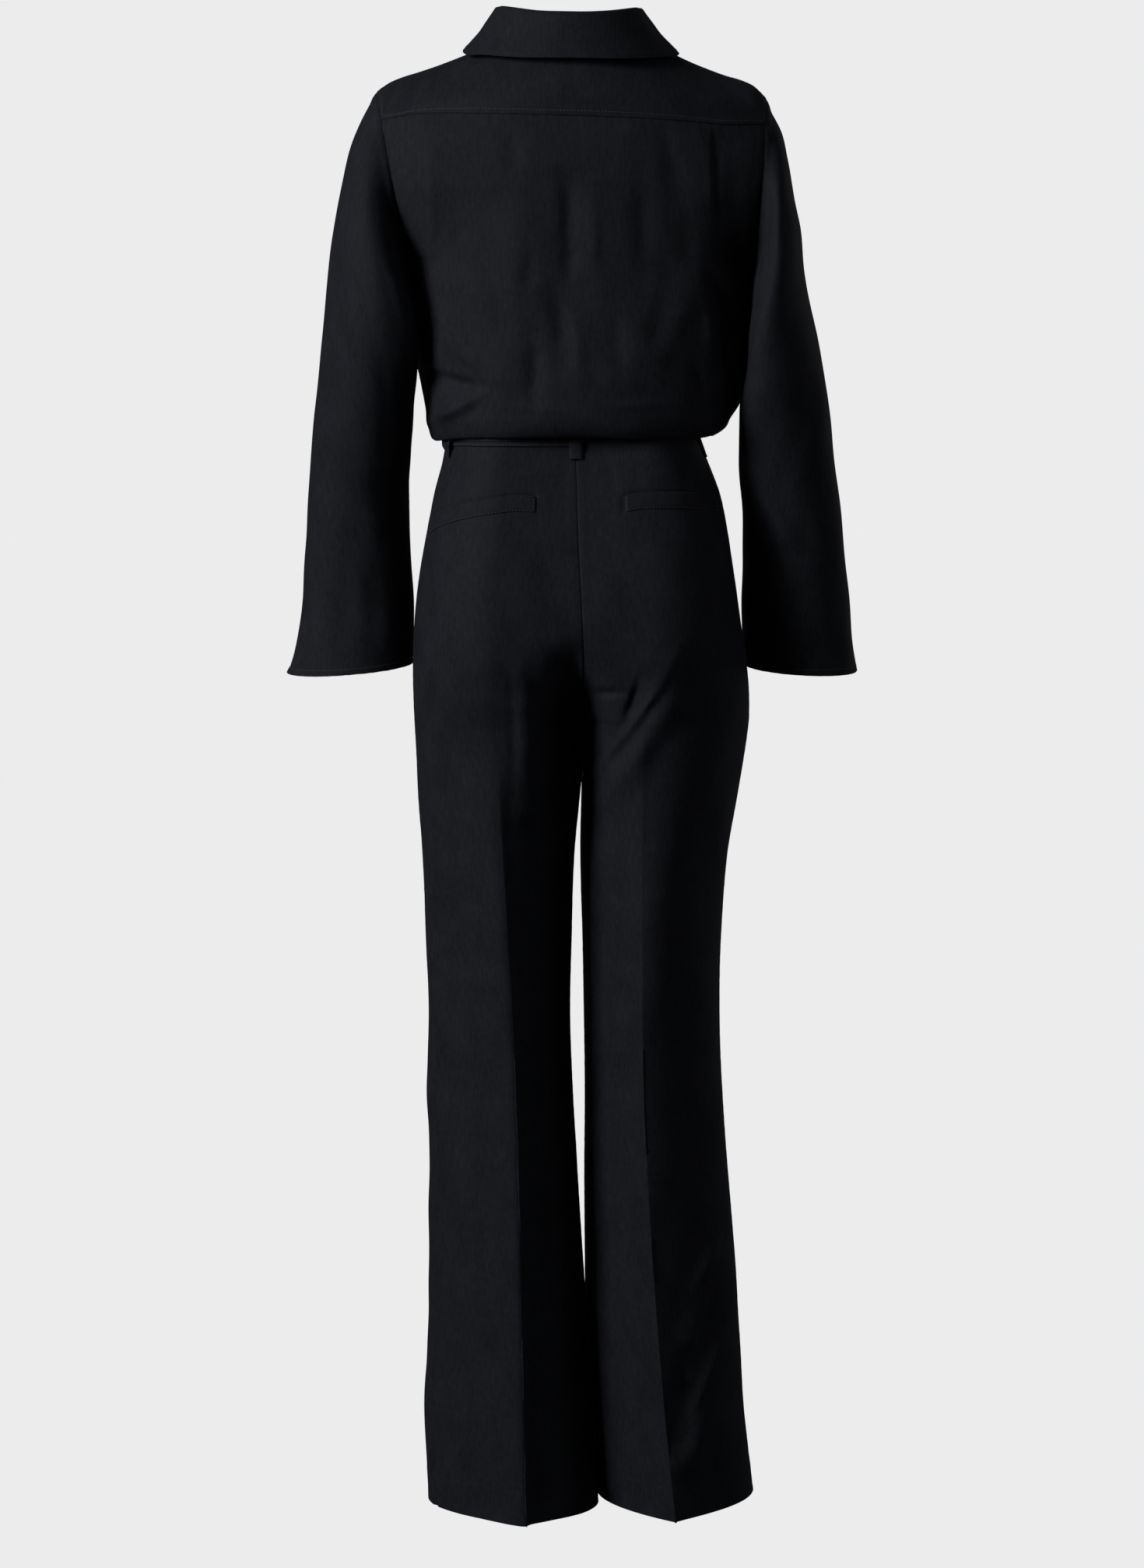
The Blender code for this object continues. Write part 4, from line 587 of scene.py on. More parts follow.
# Creases of each piece, in millimetres: x and z of both ends in the back or front view, how far the middle
# bows to the wearer's right, the widths to the wearer's right and left, and the height: a trough's is below
# zero.
CREASES = in_metres({
    "back": [
        (-134.5, -86, -137.2, -202, 0, 11, 1.3, -3),
        (-153, -110, -156, -200, 0, 10, 10, -2.4),
        (135, -130, 135, -260, 1, 6, 4, 1.8),
        (50, -150, 50, -290, 0, 32, 45, 4.2),
        (58, -94, 57, -135, 1, 9, 9, -1.4),
        (6.3, -136, 5, -208, 2, 8.5, 7, -3.1),
        (0, -200, 6, -240, 1, 7, 7, -1.8),
        (-19, -166, -21.5, -218, 1, 5.5, 6.5, 1.7),
        (40, -200, 43, -248, 1, 7.5, 7.5, -2),
        (16, -246, 11, -308, 2, 8.5, 8, -3.1),
        (-4, -270, -6, -325, 1, 7, 6, 1.6),
        (37, -292, 37.5, -348, 1, 8, 7.5, -3),
        (-65, -137, -68, -226, 2, 10, 10, -2.8),
        (-86, -88, -100, -150, 2, 9, 11, -2.2),
        (-108, -165, -113, -230, 1, 9, 11, -2.2),
        (-90, -240, -70, -310, 4, 11, 11, -2.8),
        (-40, -260, -46, -330, 2, 8, 8, -1.8),
        (-130, -222, -155, -262, -2, 6, 8.5, -4.6),
        (-146, -214, -166, -268, 3, 5, 7, 3.4),
        (-129, -262, -133, -300, 0, 8, 6, 3),
        (-148, -290, -152, -335, 1, 6, 6, -3.4),
        (-164, -285, -143, -332, 1, 7, 5, 3.4),
        (-118, -315, -124, -350, 0, 7, 7, -3.4),
        (146, -319, 86, -335, -3, 5, 9, -6.2),
        (135, -368, 88, -343, 2, 5, 8, 6),
        (-118, -236, -52, -322, 4, 20, 30, 4.2),
        (108, -300, 90, -318, 0, 7, 6, 2),
        (70, -240, 66, -300, -2, 12, 12, -1.8),
        (98, -180, 92, -270, -2, 12, 12, 1.4),
        (60, -354, 10, -357, 0, 5, 5, 1.4),
        (-30, -354, -90, -352, 0, 5, 5, 1.4),
    ],
    "front": [
        (120, -200, 50, -262, 4, 9, 9, -1.8),
        (-130, -205, -56, -270, -4, 9, 9, -1.8),
        (30, -250, 36, -345, 3, 8, 7, -2.2),
        (-34, -240, -30, -350, -3, 7, 8, -2),
        (85, -285, 80, -362, 2, 6, 7, -2.2),
        (-93, -275, -90, -362, 1, 7, 7, -2.4),
        (130, -290, 124, -352, 1, 6, 7, 1.8),
        (-138, -270, -130, -352, 0, 7, 7, 2),
    ],
    "seat": [
        (-94.5, -600, -28, -704, 4, 3.4, 7.5, 5),
        (-64, -617, -52, -655, 0, 5, 3.5, -3.6),
        (-22, -631, -47, -629, 0, 3.5, 4.5, -3.4),
        (48, -610, 41, -705, 2, 5, 7.5, 2.6),
        (59, -620, 56, -715, 1, 4.5, 4.5, -2),
        (24, -612, 22, -655, 0, 3.5, 5, 2),
        (42, -715, 24, -790, 2, 5, 6, 1.5),
        (98, -392, 101, -438, 0, 1.4, 6, 2),
        (-104, -392, -108.5, -430, 0, 6, 1.4, -2),
        (-30, -395, -42, -445, 2, 6, 7, -1),
        (30, -480, 18, -560, 2, 11, 11, -0.9),
        (-82, -870, -135, -900, 2, 8, 8, -1),
        (122, -1085, 90, -1225, 6, 8, 9, 2.2),
        (132, -1105, 104, -1255, 5, 7, 7, -1.8),
        (-150, -1168, -119, -1228, 2, 5, 7, 3),
        (-154, -1262, -112, -1358, 3, 5, 7, 3.4),
        (-110, -1290, -106, -1335, 0, 5, 5, -2.6),
        (-142, -1225, -126, -1285, 1, 6, 5, -2.2),
        (-123, -1330, -126, -1410, 0, 9, 9, 1.8),
        (90, -1290, 96, -1400, 2, 11, 11, 1.2),
        (140.5, -740, 132.8, -985, 0, 3, 3, -1.8),
        (132.8, -985, 134, -1425, 0, 3, 3, -1.8),
    ],
    "lap": [
        (-25, -628, -90, -596, 3, 6, 8, -2.6),
        (24, -630, 88, -600, -3, 8, 6, -2.6),
        (-30, -655, -90, -640, 2, 5, 7, -2),
        (30, -655, 96, -646, -2, 7, 5, -1.8),
        (85, -380, 80, -440, 0, 4, 6, 1.4),
        (-90, -380, -85, -440, 0, 6, 4, 1.4),
        (-100, -820, -50, -850, 3, 8, 8, -1.4),
        (105, -835, 50, -860, 3, 8, 8, -1.4),
        (115, -1150, 80, -1270, 4, 8, 8, 2.2),
        (-145, -1190, -110, -1310, -4, 8, 8, 2.4),
    ],
    "sleeve_left": [
        (164, -130, 156, -400, 0, 6, 26, -6.2),
        (211, -160, 213, -330, 3, 9, 9, 1.2),
        (185, -300, 180, -420, 3, 9, 9, -1.8),
        (233, -330, 230, -420, -3, 9, 9, -1.2),
        (208, -400, 193, -500, 3, 10, 10, 1.8),
        (222, -470, 225, -600, 2, 11, 11, -1.8),
        (195, -500, 190, -600, -2, 10, 10, -1.6),
        (248, -430, 256, -600, 2, 10, 9, 1.2),
    ],
    "sleeve_right": [
        (-190, -130, -200, -250, 2, 6, 6, 1.6),
        (-205, -120, -212, -230, 1, 6, 6, -1.4),
        (-178, -425, -230, -505, -3, 8, 10, 5.6),
        (-174, -450, -212, -540, 0, 10, 12, -4.4),
        (-235, -320, -220, -400, 2, 9, 9, -1.4),
        (-240, -470, -248, -600, -2, 10, 10, 1.4),
        (-210, -520, -212, -605, 1, 10, 10, 1.2),
    ],
})


def smooth(value, start, end):
    share = np.clip((value - start) / (end - start), 0.0, 1.0)
    return share * share * (3.0 - 2.0 * share)


def crease_height(piece, points):
    """How far a piece's creases push the cloth, for a table of points."""
    total = np.zeros(points.shape[:2])
    for x1, z1, x2, z2, bend, right, left, height in CREASES[piece]:
        length = math.hypot(x2 - x1, z2 - z1)
        run_x, run_z = (x2 - x1) / length, (z2 - z1) / length
        dx, dz = points[..., 0] - x1, points[..., 2] - z1
        along = (dx * run_x + dz * run_z) / length
        inside = np.clip(along, 0.0, 1.0)
        aside = -(dz * run_x - dx * run_z) * (1.0 if run_z <= 0.0 else -1.0)
        aside = aside - bend * 4.0 * inside * (1.0 - inside)
        wide = np.where(aside > 0.0, right, left)
        reach = 0.5 * (right + left) + 0.12 * length
        past = np.maximum(np.maximum(-along, along - 1.0), 0.0) * length
        taper = 0.35 + 0.65 * smooth(np.minimum(inside, 1.0 - inside), 0.0, 0.35)
        total += height * taper * np.exp(-(aside / wide) ** 2 - (past / reach) ** 2)
    return total


def waviness(points, size, seed):
    """Gentle unevenness of cloth: waves in many fixed directions, each of its own length."""
    turns = np.random.default_rng(seed)
    total = np.zeros(points.shape[:2])
    for _ in range(WAVES):
        way = turns.normal(size=3) * np.array([1.0, 1.0, WAVE_UPRIGHT])
        way /= np.linalg.norm(way)
        wave = turns.uniform(SHORTEST_WAVE, LONGEST_WAVE)
        total += wave * np.sin(points @ way * (2.0 * math.pi / wave) + turns.uniform(0.0, 6.28))
    return total * (size / WAVE_SUM)


def ripple(along, seed=0.0):
    """Pucker along a stitched line."""
    waves = ((1.0, 0.0113, seed), (0.7, 0.0071, 2.0 * seed), (0.6, 0.0230, 3.0))
    return sum(height * np.sin(along * 2.0 * math.pi / length + start) for height, length, start in waves)


def lip(near, depth, width, power=2):
    """The edge itself, rolled down."""
    return -depth * np.clip(1.0 - near / width, 0.0, 1.0) ** power


def band(near, height, start, end):
    """A raised band along the edge, which falls away from start to end."""
    return height * (1.0 - smooth(near, start, end))


def stripe(near, height, place, width):
    """A raised stripe beside the edge, or a groove where its height is below zero."""
    return height * np.exp(-((near - place) / width) ** 2)


def pucker(near, along, height, reach, seed=0.0):
    return height * np.exp(-near / reach) * ripple(along, seed)


def edge_shape(kind, near, along):
    """Height of the cloth by how near an edge it is."""
    if kind == "seam":       # sewn and pressed open: rolls into the seam, with the allowance under it
        return (lip(near, 0.0007, 0.0018) + band(near, 0.00025, 0.0070, 0.0100)
                + pucker(near, along, 0.00010, 0.006))
    if kind == "side":       # the trousers' side seam: as a seam, in a shallow dip
        return edge_shape("seam", near, along) + stripe(near, -0.0014, 0.0, 0.0030)
    if kind == "head":       # the sleeve's side of an armhole, eased in
        return (lip(near, 0.0004, 0.0012) + band(near, 0.0009, 0.0050, 0.0130)
                + pucker(near, along, 0.00016, 0.012))
    if kind == "lap":        # laid over its neighbour and topstitched
        return (band(near, 0.0006, 0.0060, 0.0110) + lip(near, 0.0003, 0.0008)
                + stripe(near, -0.00030, TOP_STITCH, 0.0009)
                + stripe(near, 0.00012, 0.0, 0.008) * ripple(along))
    if kind == "under":      # goes under the lap
        return lip(near, 0.0004, 0.0022, 1) + pucker(near, along, 0.00014, 0.008, 1.0)
    if kind == "fold":       # a turned and topstitched edge
        return (stripe(near, -0.00030, TOP_STITCH, 0.0009) + lip(near, 0.0003, 0.0008)
                + pucker(near, along, 0.00008, 0.006, 2.0))
    if kind == "cuff":       # a narrow rolled hem
        return (stripe(near, -0.00035, CUFF_STITCH, 0.0010) + band(near, 0.0003, 0.0050, 0.0068)
                + pucker(near, along, 0.00010, 0.010, 4.0))
    # a deep blind hem
    return (band(near, 0.00022, HEM_DEPTH - 0.0012, HEM_DEPTH + 0.0006) + lip(near, 0.0003, 0.0010)
            + stripe(near, 0.00006, HEM_DEPTH, 0.003) * ripple(along * 0.7, 1.0))


def spline(grid, lines, axis, closed=False):
    """A table of points read between its rows or columns, on a smooth curve through them."""
    g = np.moveaxis(grid, axis, 0)
    if closed:
        g4 = np.concatenate([g[-2:-1], g, g[1:2]])
    else:
        g4 = np.concatenate([(3 * g[0] - 3 * g[1] + g[2])[None], g, (3 * g[-1] - 3 * g[-2] + g[-3])[None]])
    i = np.minimum(np.floor(lines).astype(int), len(g) - 2)
    t = (lines - i)[:, None, None]
    a, b, c, d = g4[i], g4[i + 1], g4[i + 2], g4[i + 3]
    out = ((2 * t ** 3 - 3 * t ** 2 + 1) * b + (t ** 3 - 2 * t ** 2 + t) * (c - a) / 2
           + (3 * t ** 2 - 2 * t ** 3) * c + (t ** 3 - t ** 2) * (d - b) / 2)
    return np.moveaxis(out, 0, axis)


def fine_lines(steps, spacing, at_start, at_end):
    """Places between rows or columns, close together near a worked edge."""
    total = len(steps)
    special = []
    if at_start:
        special += [d / steps[0] for d in EDGE_STEPS if d < 1.5 * steps[0]]
    if at_end:
        special += [total - d / steps[-1] for d in EDGE_STEPS if d < 1.5 * steps[-1]]
    lines = [0.0, float(total)] + special
    for k, step in enumerate(steps):
        n = max(1, round(step / spacing))
        for s in range(n):
            place = k + s / n
            if min(abs(place - other) for other in lines) * step > LINE_SPACE * spacing:
                lines.append(place)
    return np.array(sorted(lines))


def place_of(distance, values):
    """Where on a line of rising or falling distances one of them lies."""
    order = np.arange(len(values))
    if values[0] >= values[-1]:
        values, order = values[::-1], order[::-1]
    return float(np.interp(distance, values, order))


class Cloth:
    """A fine sheet: points, outward directions, and how far each point lies from the four edges."""

    def __init__(self, name, points, piece="", edges=("", "", "", ""), closed=False, facing=1, wave=0.0003,
                 seed=1, grain=0.0, extra=None):
        self.name, self.closed, self.facing, self.edges = name, closed, facing, edges
        self.grain = int(round(grain * (points.shape[1] - 1)))
        self.points = points
        self.measure()
        self.overlap()
        normals = self.directions()
        lift = waviness(points, wave, seed)
        if piece:
            lift = lift + crease_height(piece, points) * (normals[..., 1] ** 2 if closed else 1.0)
        if extra:
            lift = lift + extra(points)
        nearest = np.minimum(self.down, self.up)
        if not closed:
            nearest = np.minimum(nearest, np.minimum(self.across, self.back))
        lift = lift * smooth(nearest, 0.0, CALM_EDGE)
        for kind, near, along in zip(edges, (self.down, self.up, self.across, self.back),
                                     (self.across, self.across, self.down, self.down)):
            if kind:
                lift = lift + edge_shape(kind, near, along)
        self.points = points + normals * lift[..., None]
        self.normals = self.directions()

    def overlap(self, reach=0.0005):
        """Moves sewn edges a little past the seam, so that neighbours meet under its groove."""
        rows, columns = self.points, self.points.swapaxes(0, 1)
        for kind, lines, edge, inner in zip(self.edges, (rows, rows, columns, columns),
                                            (0, -1, 0, -1), (1, -2, 1, -2)):
            if kind in ("seam", "side", "under", "head"):
                way = lines[edge] - lines[inner]
                lines[edge] += way / np.maximum(np.linalg.norm(way, axis=-1, keepdims=True), 1e-9) * reach

    def measure(self):
        p = self.points
        rows = np.linalg.norm(np.diff(p, axis=0), axis=2)
        columns = np.linalg.norm(np.diff(p, axis=1), axis=2)
        self.down = np.vstack([np.zeros((1, p.shape[1])), np.cumsum(rows, axis=0)])
        self.up = self.down[-1:] - self.down
        self.across = np.hstack([np.zeros((p.shape[0], 1)), np.cumsum(columns, axis=1)])
        self.back = self.across[:, -1:] - self.across

    def directions(self):
        p = self.points
        down = np.gradient(p, axis=0)
        if self.closed:
            wide = np.concatenate([p[:, -2:-1], p, p[:, 1:2]], axis=1)
            right = (wide[:, 2:] - wide[:, :-2]) / 2
        else:
            right = np.gradient(p, axis=1)
        n = np.cross(down, right) * self.facing
        return n / np.maximum(np.linalg.norm(n, axis=2, keepdims=True), 1e-12)

    def read(self, i, j):
        """Point and direction between rows and columns."""
        i = min(max(i, 0.0), len(self.points) - 1.001)
        j = min(max(j, 0.0), self.points.shape[1] - 1.001)
        r, c = int(i), int(j)
        s, t = i - r, j - c
        point, way = (Vector((g[r, c] * (1 - s) + g[r + 1, c] * s) * (1 - t)
                             + (g[r, c + 1] * (1 - s) + g[r + 1, c + 1] * s) * t)
                      for g in (self.points, self.normals))
        return point, way.normalized()

    def line(self, edge, distance, first=0.0, last=1.0):
        """Points and directions on a line at a distance from one edge."""
        table = {"top": self.down, "bottom": self.up, "start": self.across, "end": self.back}[edge]
        upright = edge in ("top", "bottom")
        count = table.shape[1] if upright else table.shape[0]
        found = []
        for k in range(int(first * (count - 1)), int(last * (count - 1)) + 1):
            place = place_of(distance, table[:, k] if upright else table[k])
            found.append(self.read(place, k) if upright else self.read(k, place))
        return found


def shell(cloth):
    """The cloth with its thickness and rounded edges, as one closed mesh, its weave laid out in metres."""
    outer, inner = cloth.points, cloth.points - cloth.normals * THICK
    rows, columns = outer.shape[:2]
    wrap = columns - 1 if cloth.closed else columns
    half = rows * wrap
    forward, backward = slice(None, None, cloth.facing), slice(None, None, -cloth.facing)
    verts = [layer[:, :wrap].reshape(-1, 3) for layer in (outer, inner)]
    i, j = (cells.ravel() for cells in np.indices((rows - 1, columns - 1)))
    i, j = np.stack([i, i + 1, i + 1, i], 1), np.stack([j, j, j + 1, j + 1], 1)
    index, corner = i * wrap + j % wrap, i * columns + j
    faces = [index[:, forward], index[:, backward] + half]
    corners = [corner[:, forward], corner[:, backward]]
    # Each rim runs from the outer edge over a middle line, set out a little, to the inner edge. Here are its
    # rows, its columns and the step to the line inside it.
    down, across = np.arange(rows), np.arange(columns)
    rims = [(0 * across, across, 1, 0), (0 * across + rows - 1, across[::-1], -1, 0)]
    if not cloth.closed:
        rims += [(down[::-1], 0 * down, 0, 1), (down, 0 * down + columns - 1, 0, -1)]
    for r, c, to_row, to_column in rims:
        out = outer[r, c] - outer[r + to_row, c + to_column]
        out = out / np.maximum(np.linalg.norm(out, axis=1, keepdims=True), 1e-9)
        edge, corner = r * wrap + c % wrap, r * columns + c
        middle = sum(map(len, verts)) + np.arange(len(r))
        if cloth.closed:
            middle[-1] = middle[0]
        verts.append(0.5 * (outer[r, c] + inner[r, c]) + out * THICK * RIM_ROUND)
        for a, b in ((edge, middle), (middle, edge + half)):
            faces.append(np.stack([a[:-1], a[1:], b[1:], b[:-1]], 1)[:, forward])
            corners.append(np.stack([corner[:-1], corner[1:], corner[1:], corner[:-1]], 1)[:, forward])
    corners = np.concatenate(corners).ravel()
    flat_u = cloth.across - cloth.across[:, cloth.grain][:, None]
    weave = np.stack([flat_u.ravel()[corners], -cloth.down.ravel()[corners]], 1)
    return add_cloth(cloth.name, np.concatenate(verts).tolist(), np.concatenate(faces).tolist(), weave)


def strip_shell(cloth):
    """Closes a strip between its outside and its given inside."""
    rows, columns = cloth.points.shape[:2]
    wrap = columns - 1 if cloth.closed else columns
    layers = np.stack([cloth.points[:, :wrap], cloth.inner[:, :wrap]])
    faces, weave = [], []

    def quad(*corners):
        """One face. Each corner is a row, a column, and 0 on the outside or 1 on the inside."""
        faces.append([(layer * rows + i) * wrap + j % wrap for i, j, layer in corners])
        weave.extend((cloth.across[i, j], cloth.down[i, j]) for i, j, _ in corners)

    for i in range(rows - 1):
        for j in range(columns - 1):
            quad((i, j, 0), (i + 1, j, 0), (i + 1, j + 1, 0), (i, j + 1, 0))
            quad((i, j, 1), (i, j + 1, 1), (i + 1, j + 1, 1), (i + 1, j, 1))
    end = rows - 1
    for j in range(columns - 1):
        quad((0, j, 0), (0, j + 1, 0), (0, j + 1, 1), (0, j, 1))
        quad((end, j + 1, 0), (end, j, 0), (end, j, 1), (end, j + 1, 1))
    if not cloth.closed:
        end = columns - 1
        for i in range(rows - 1):
            quad((i, 0, 0), (i, 0, 1), (i + 1, 0, 1), (i + 1, 0, 0))
            quad((i + 1, end, 0), (i + 1, end, 1), (i, end, 1), (i, end, 0))
    thing = add_cloth(cloth.name, layers.reshape(-1, 3).tolist(), faces, weave)
    thing.data.set_sharp_from_angle(angle=math.radians(50.0))
    return thing


def add_cloth(name, verts, faces, weave):
    """Makes a piece of crepe. weave lists where each corner of the faces lies on the flat cloth."""
    mesh = bpy.data.meshes.new(name)
    mesh.from_pydata(verts, [], faces)
    mesh.uv_layers.new(name="weave").data.foreach_set("uv", np.array(weave, np.float32).ravel())
    mesh.validate()
    work = bmesh.new()
    work.from_mesh(mesh)
    bmesh.ops.delete(work, geom=[vert for vert in work.verts if not vert.link_faces], context="VERTS")
    # the small gap between the two rims at each corner
    bmesh.ops.holes_fill(work, edges=[edge for edge in work.edges if edge.is_boundary], sides=4)
    bmesh.ops.recalc_face_normals(work, faces=work.faces)
    work.to_mesh(mesh)
    work.free()
    return add(name, mesh, crepe)


def add(name, mesh, material):
    mesh.shade_smooth()
    mesh.materials.append(material)
    thing = bpy.data.objects.new(name + "_cloth", mesh)
    bpy.context.scene.collection.objects.link(thing)
    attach(thing, "root")
    return thing


# ---------------------------------------------------------------- stitches
def stitch_mesh(name, lines, pitch=0.0033, length=0.0024, radius=0.00032, lift=0.00005, sink=0.00022):
    """Rows of short thread beads, whose ends sink into the cloth. Each line is a list of (point, outward)."""
    sides, verts, faces = 6, [], []
    profile = [(-0.5, 0.35), (-0.34, 0.95), (0.0, 1.0), (0.34, 0.95), (0.5, 0.35)]

    def read(table, reach, at):
        return np.array([np.interp(at, reach, table[:, axis]) for axis in range(3)])

    for line in lines:
        points = np.array([p for p, _ in line])
        ways = np.array([n for _, n in line])
        step = np.linalg.norm(np.diff(points, axis=0), axis=1)
        reach = np.concatenate([[0.0], np.cumsum(step)])
        for k in range(int(reach[-1] / pitch)):
            at = (k + 0.5) * pitch
            start, end = (read(points, reach, at + half * length / 2) for half in (-1, 1))
            out = read(ways, reach, at)
            out /= np.linalg.norm(out)
            along = end - start
            along /= max(np.linalg.norm(along), 1e-9)
            side = np.cross(along, out)
            side /= max(np.linalg.norm(side), 1e-9)
            up = np.cross(side, along)
            middle = 0.5 * (start + end) + out * lift
            base = len(verts)
            for place, wide in profile:
                drop = sink * (abs(place) / 0.5) ** 2
                for q in range(sides):
                    turn = 2.0 * math.pi * q / sides
                    verts.append(middle + along * place * length - up * drop
                                 + radius * wide * (side * math.cos(turn) + up * math.sin(turn)))
            for r in range(len(profile) - 1):
                for q in range(sides):
                    n = (q + 1) % sides
                    faces.append((base + r * sides + q, base + r * sides + n, base + (r + 1) * sides + n,
                                  base + (r + 1) * sides + q))
            faces.append([base + q for q in range(sides)][::-1])
            faces.append([base + (len(profile) - 1) * sides + q for q in range(sides)])
    mesh = bpy.data.meshes.new(name)
    mesh.from_pydata([tuple(v) for v in verts], [], faces)
    return add(name, mesh, thread)


# ---------------------------------------------------------------- materials
class Look:
    """A material in the making. Inputs are given by name, each a value or another node's output."""

    def __init__(self, name):
        self.material = bpy.data.materials.new(name)
        self.material.use_nodes = True
        self.tree = self.material.node_tree
        self.shader = self.tree.nodes["Principled BSDF"]

    def feed(self, node, inputs):
        for name, value in inputs.items():
            if isinstance(value, bpy.types.NodeSocket):
                self.tree.links.new(value, node.inputs[name])
            else:
                node.inputs[name].default_value = value

    def add(self, kind, output, inputs):
        node = self.tree.nodes.new("ShaderNode" + kind)
        self.feed(node, inputs)
        return node.outputs[output]

    def bump(self, height, strength, distance):
        return self.add("Bump", "Normal", {"Height": height, "Strength": strength, "Distance": distance})


def crepe_look(name, tone, sheen):
    """Near-black crepe: a fine pebbled twill, faint upright streaks, a soft sheen and a slight nap."""
    look = Look(name)
    place = look.add("UVMap", "UV", {})
    place.node.uv_map = "weave"

    def scaled(x, y, turn=0.0):
        return look.add("Mapping", "Vector",
                        {"Vector": place, "Scale": (x, y, 1.0), "Rotation": (0.0, 0.0, turn)})

    def noise(x, y, detail, rough=0.5):
        return look.add("TexNoise", "Fac",
                        {"Vector": scaled(x, y), "Scale": 1.0, "Detail": detail, "Roughness": rough})

    def sum_of(a, b, factor):
        total = look.add("Math", "Value", {0: b, 1: factor, 2: a})
        total.node.operation = "MULTIPLY_ADD"
        return total

    twill = look.add("TexWave", "Fac", {"Vector": scaled(420.0, 420.0, math.radians(-32.0)), "Scale": 1.0,
                                        "Distortion": 2.2, "Detail": 1.5, "Detail Scale": 1.4})
    pebble, streak = noise(1500.0, 1100.0, 2.0), noise(480.0, 62.0, 2.0, 0.6)
    patch, mottle = noise(38.0, 24.0, 3.0), noise(250.0, 150.0, 3.0, 0.6)
    grain = sum_of(sum_of(pebble, twill, 0.35), streak, 0.5)
    shade = sum_of(sum_of(sum_of(streak, pebble, 0.5), mottle, 0.9), patch, 0.9)
    spread = look.add("MapRange", "Result", {"Value": shade, "From Min": 1.20, "From Max": 2.10})
    colour = look.add("ValToRGB", "Color", {"Fac": spread})
    for end, strength in zip(colour.node.color_ramp.elements, (0.60, 1.48)):
        end.color = (*(part * strength for part in tone), 1.0)
    look.feed(look.shader, {
        "Base Color": colour, "Normal": look.bump(grain, 0.35, 0.00022), "Specular IOR Level": 0.14,
        "Roughness": look.add("MapRange", "Result", {"Value": patch, "To Min": 0.66, "To Max": 0.84}),
        "Sheen Weight": sheen, "Sheen Roughness": 0.45, "Sheen Tint": (0.80, 0.86, 1.0, 1.0)})
    return look.material


def thread_look(name, colour, roughness):
    look = Look(name)
    twist = look.add("TexNoise", "Fac", {"Vector": look.add("TexCoord", "Object", {}), "Scale": 2600.0})
    look.feed(look.shader, {"Base Color": (*colour, 1.0), "Roughness": roughness,
                            "Normal": look.bump(twist, 0.4, 0.0001)})
    return look.material


crepe = crepe_look("crepe", (0.0160, 0.0173, 0.0230), 0.018)
thread = thread_look("thread", (0.060, 0.063, 0.073), 0.55)


# ---------------------------------------------------------------- the panels
def table_of(grid):
    return np.array([[tuple(point) for point in row] for row in grid])


def mean_steps(table, axis):
    lengths = np.linalg.norm(np.diff(table, axis=axis), axis=2)
    return lengths.mean(axis=1 - axis)


def refine(grid, row_space, column_space, edges, closed=False):
    table = table_of(grid)
    rows = fine_lines(mean_steps(table, 0), row_space, bool(edges[0]), bool(edges[1]))
    columns = fine_lines(mean_steps(table, 1), column_space, bool(edges[2]), bool(edges[3]))
    return spline(spline(table, rows, 0), columns, 1, closed)


def sewn(name, grid, spaces, piece, edges, seed, closed=False, facing=1, wave=0.0003, grain=0.5):
    return Cloth(name, refine(grid, *spaces, edges, closed), piece, edges, closed, facing, wave, seed, grain)


yoke_rows, back_rows = yoke_grid(), back_grid()
front_rows = {side: front_grid(side) for side in ("left", "right")}
collar_rows = collar_grid(yoke_rows, front_rows)


def relax(grid, passes):
    """Softens the back of a table of points, with its edges and its top kept."""
    table = table_of(grid)
    for _ in range(passes):
        inside = table[1:-1, 1:-1]
        mean = (table[:-2, 1:-1] + table[2:, 1:-1] + table[1:-1, :-2] + table[1:-1, 2:]) / 4.0
        inside += 0.5 * smooth(inside[..., 1:2], 0.004, 0.034) * (mean - inside)
    return table


yoke = sewn("back_yoke", relax(yoke_rows, 2), (0.0028, 0.0032), "", ("seam", "lap", "lap", "lap"), 3)
back = sewn("back_bodice", back_rows, (0.0024, 0.0024), "back", ("under", "", "seam", "seam"), 5,
            wave=0.00045)
fronts = {side: sewn("front_" + side, front_rows[side], (0.0028, 0.0028), "front", edges, seed, grain=grain)
          for side, edges, seed, grain in (("left", ("under", "", "", "seam"), 6, 0.0),
                                           ("right", ("under", "", "seam", ""), 7, 1.0))}
sleeves = {side: sewn("sleeve_" + side, sleeve_grid(side), (0.0034, 0.0034), "sleeve_" + side,
                      ("head", "cuff", "", ""), seed, closed=True, wave=0.00055)
           for side, seed in (("left", 11), ("right", 12))}
collar = sewn("collar", collar_rows, (0.0016, 0.0028), "", ("", "fold", "fold", "fold"), 9, facing=-1,
              wave=0.0002)


# The trousers are read from their own formulas, row by row: bands of rows with their spacing, closest under
# the welts and at the crotch, and single rows at the hem and its stitches.
LEG_BANDS = [(WAIST_Z, -0.432, 0.0040), (-0.432, -0.468, 0.0011), (-0.468, -0.600, 0.0040),
             (-0.600, -0.700, 0.0022), (-0.700, HEM_Z + 0.012, 0.0046)]
HEM_ROWS = [0.0085, 0.0060, 0.0040, 0.0025, 0.0014, 0.0006, 0.0,
            *(HEM_DEPTH + d for d in (-0.0014, -0.0005, 0.0004, 0.0012))]
CLOSEST_ROWS = 0.0003
OUTER_BREADTH, INNER_BREADTH = 0.115, 0.085      # of a panel outside and inside its crease
OUTER_COLUMNS, INNER_COLUMNS = 34, 30
CREASE_COLUMNS = {0.994, 0.986, 1.006, 1.014}
BELT_CELLS, WELT_CELLS, LOOP_CELLS, PLACKET_CELLS, PLACKET_ROWS = 52, 60, 8, 12, 90


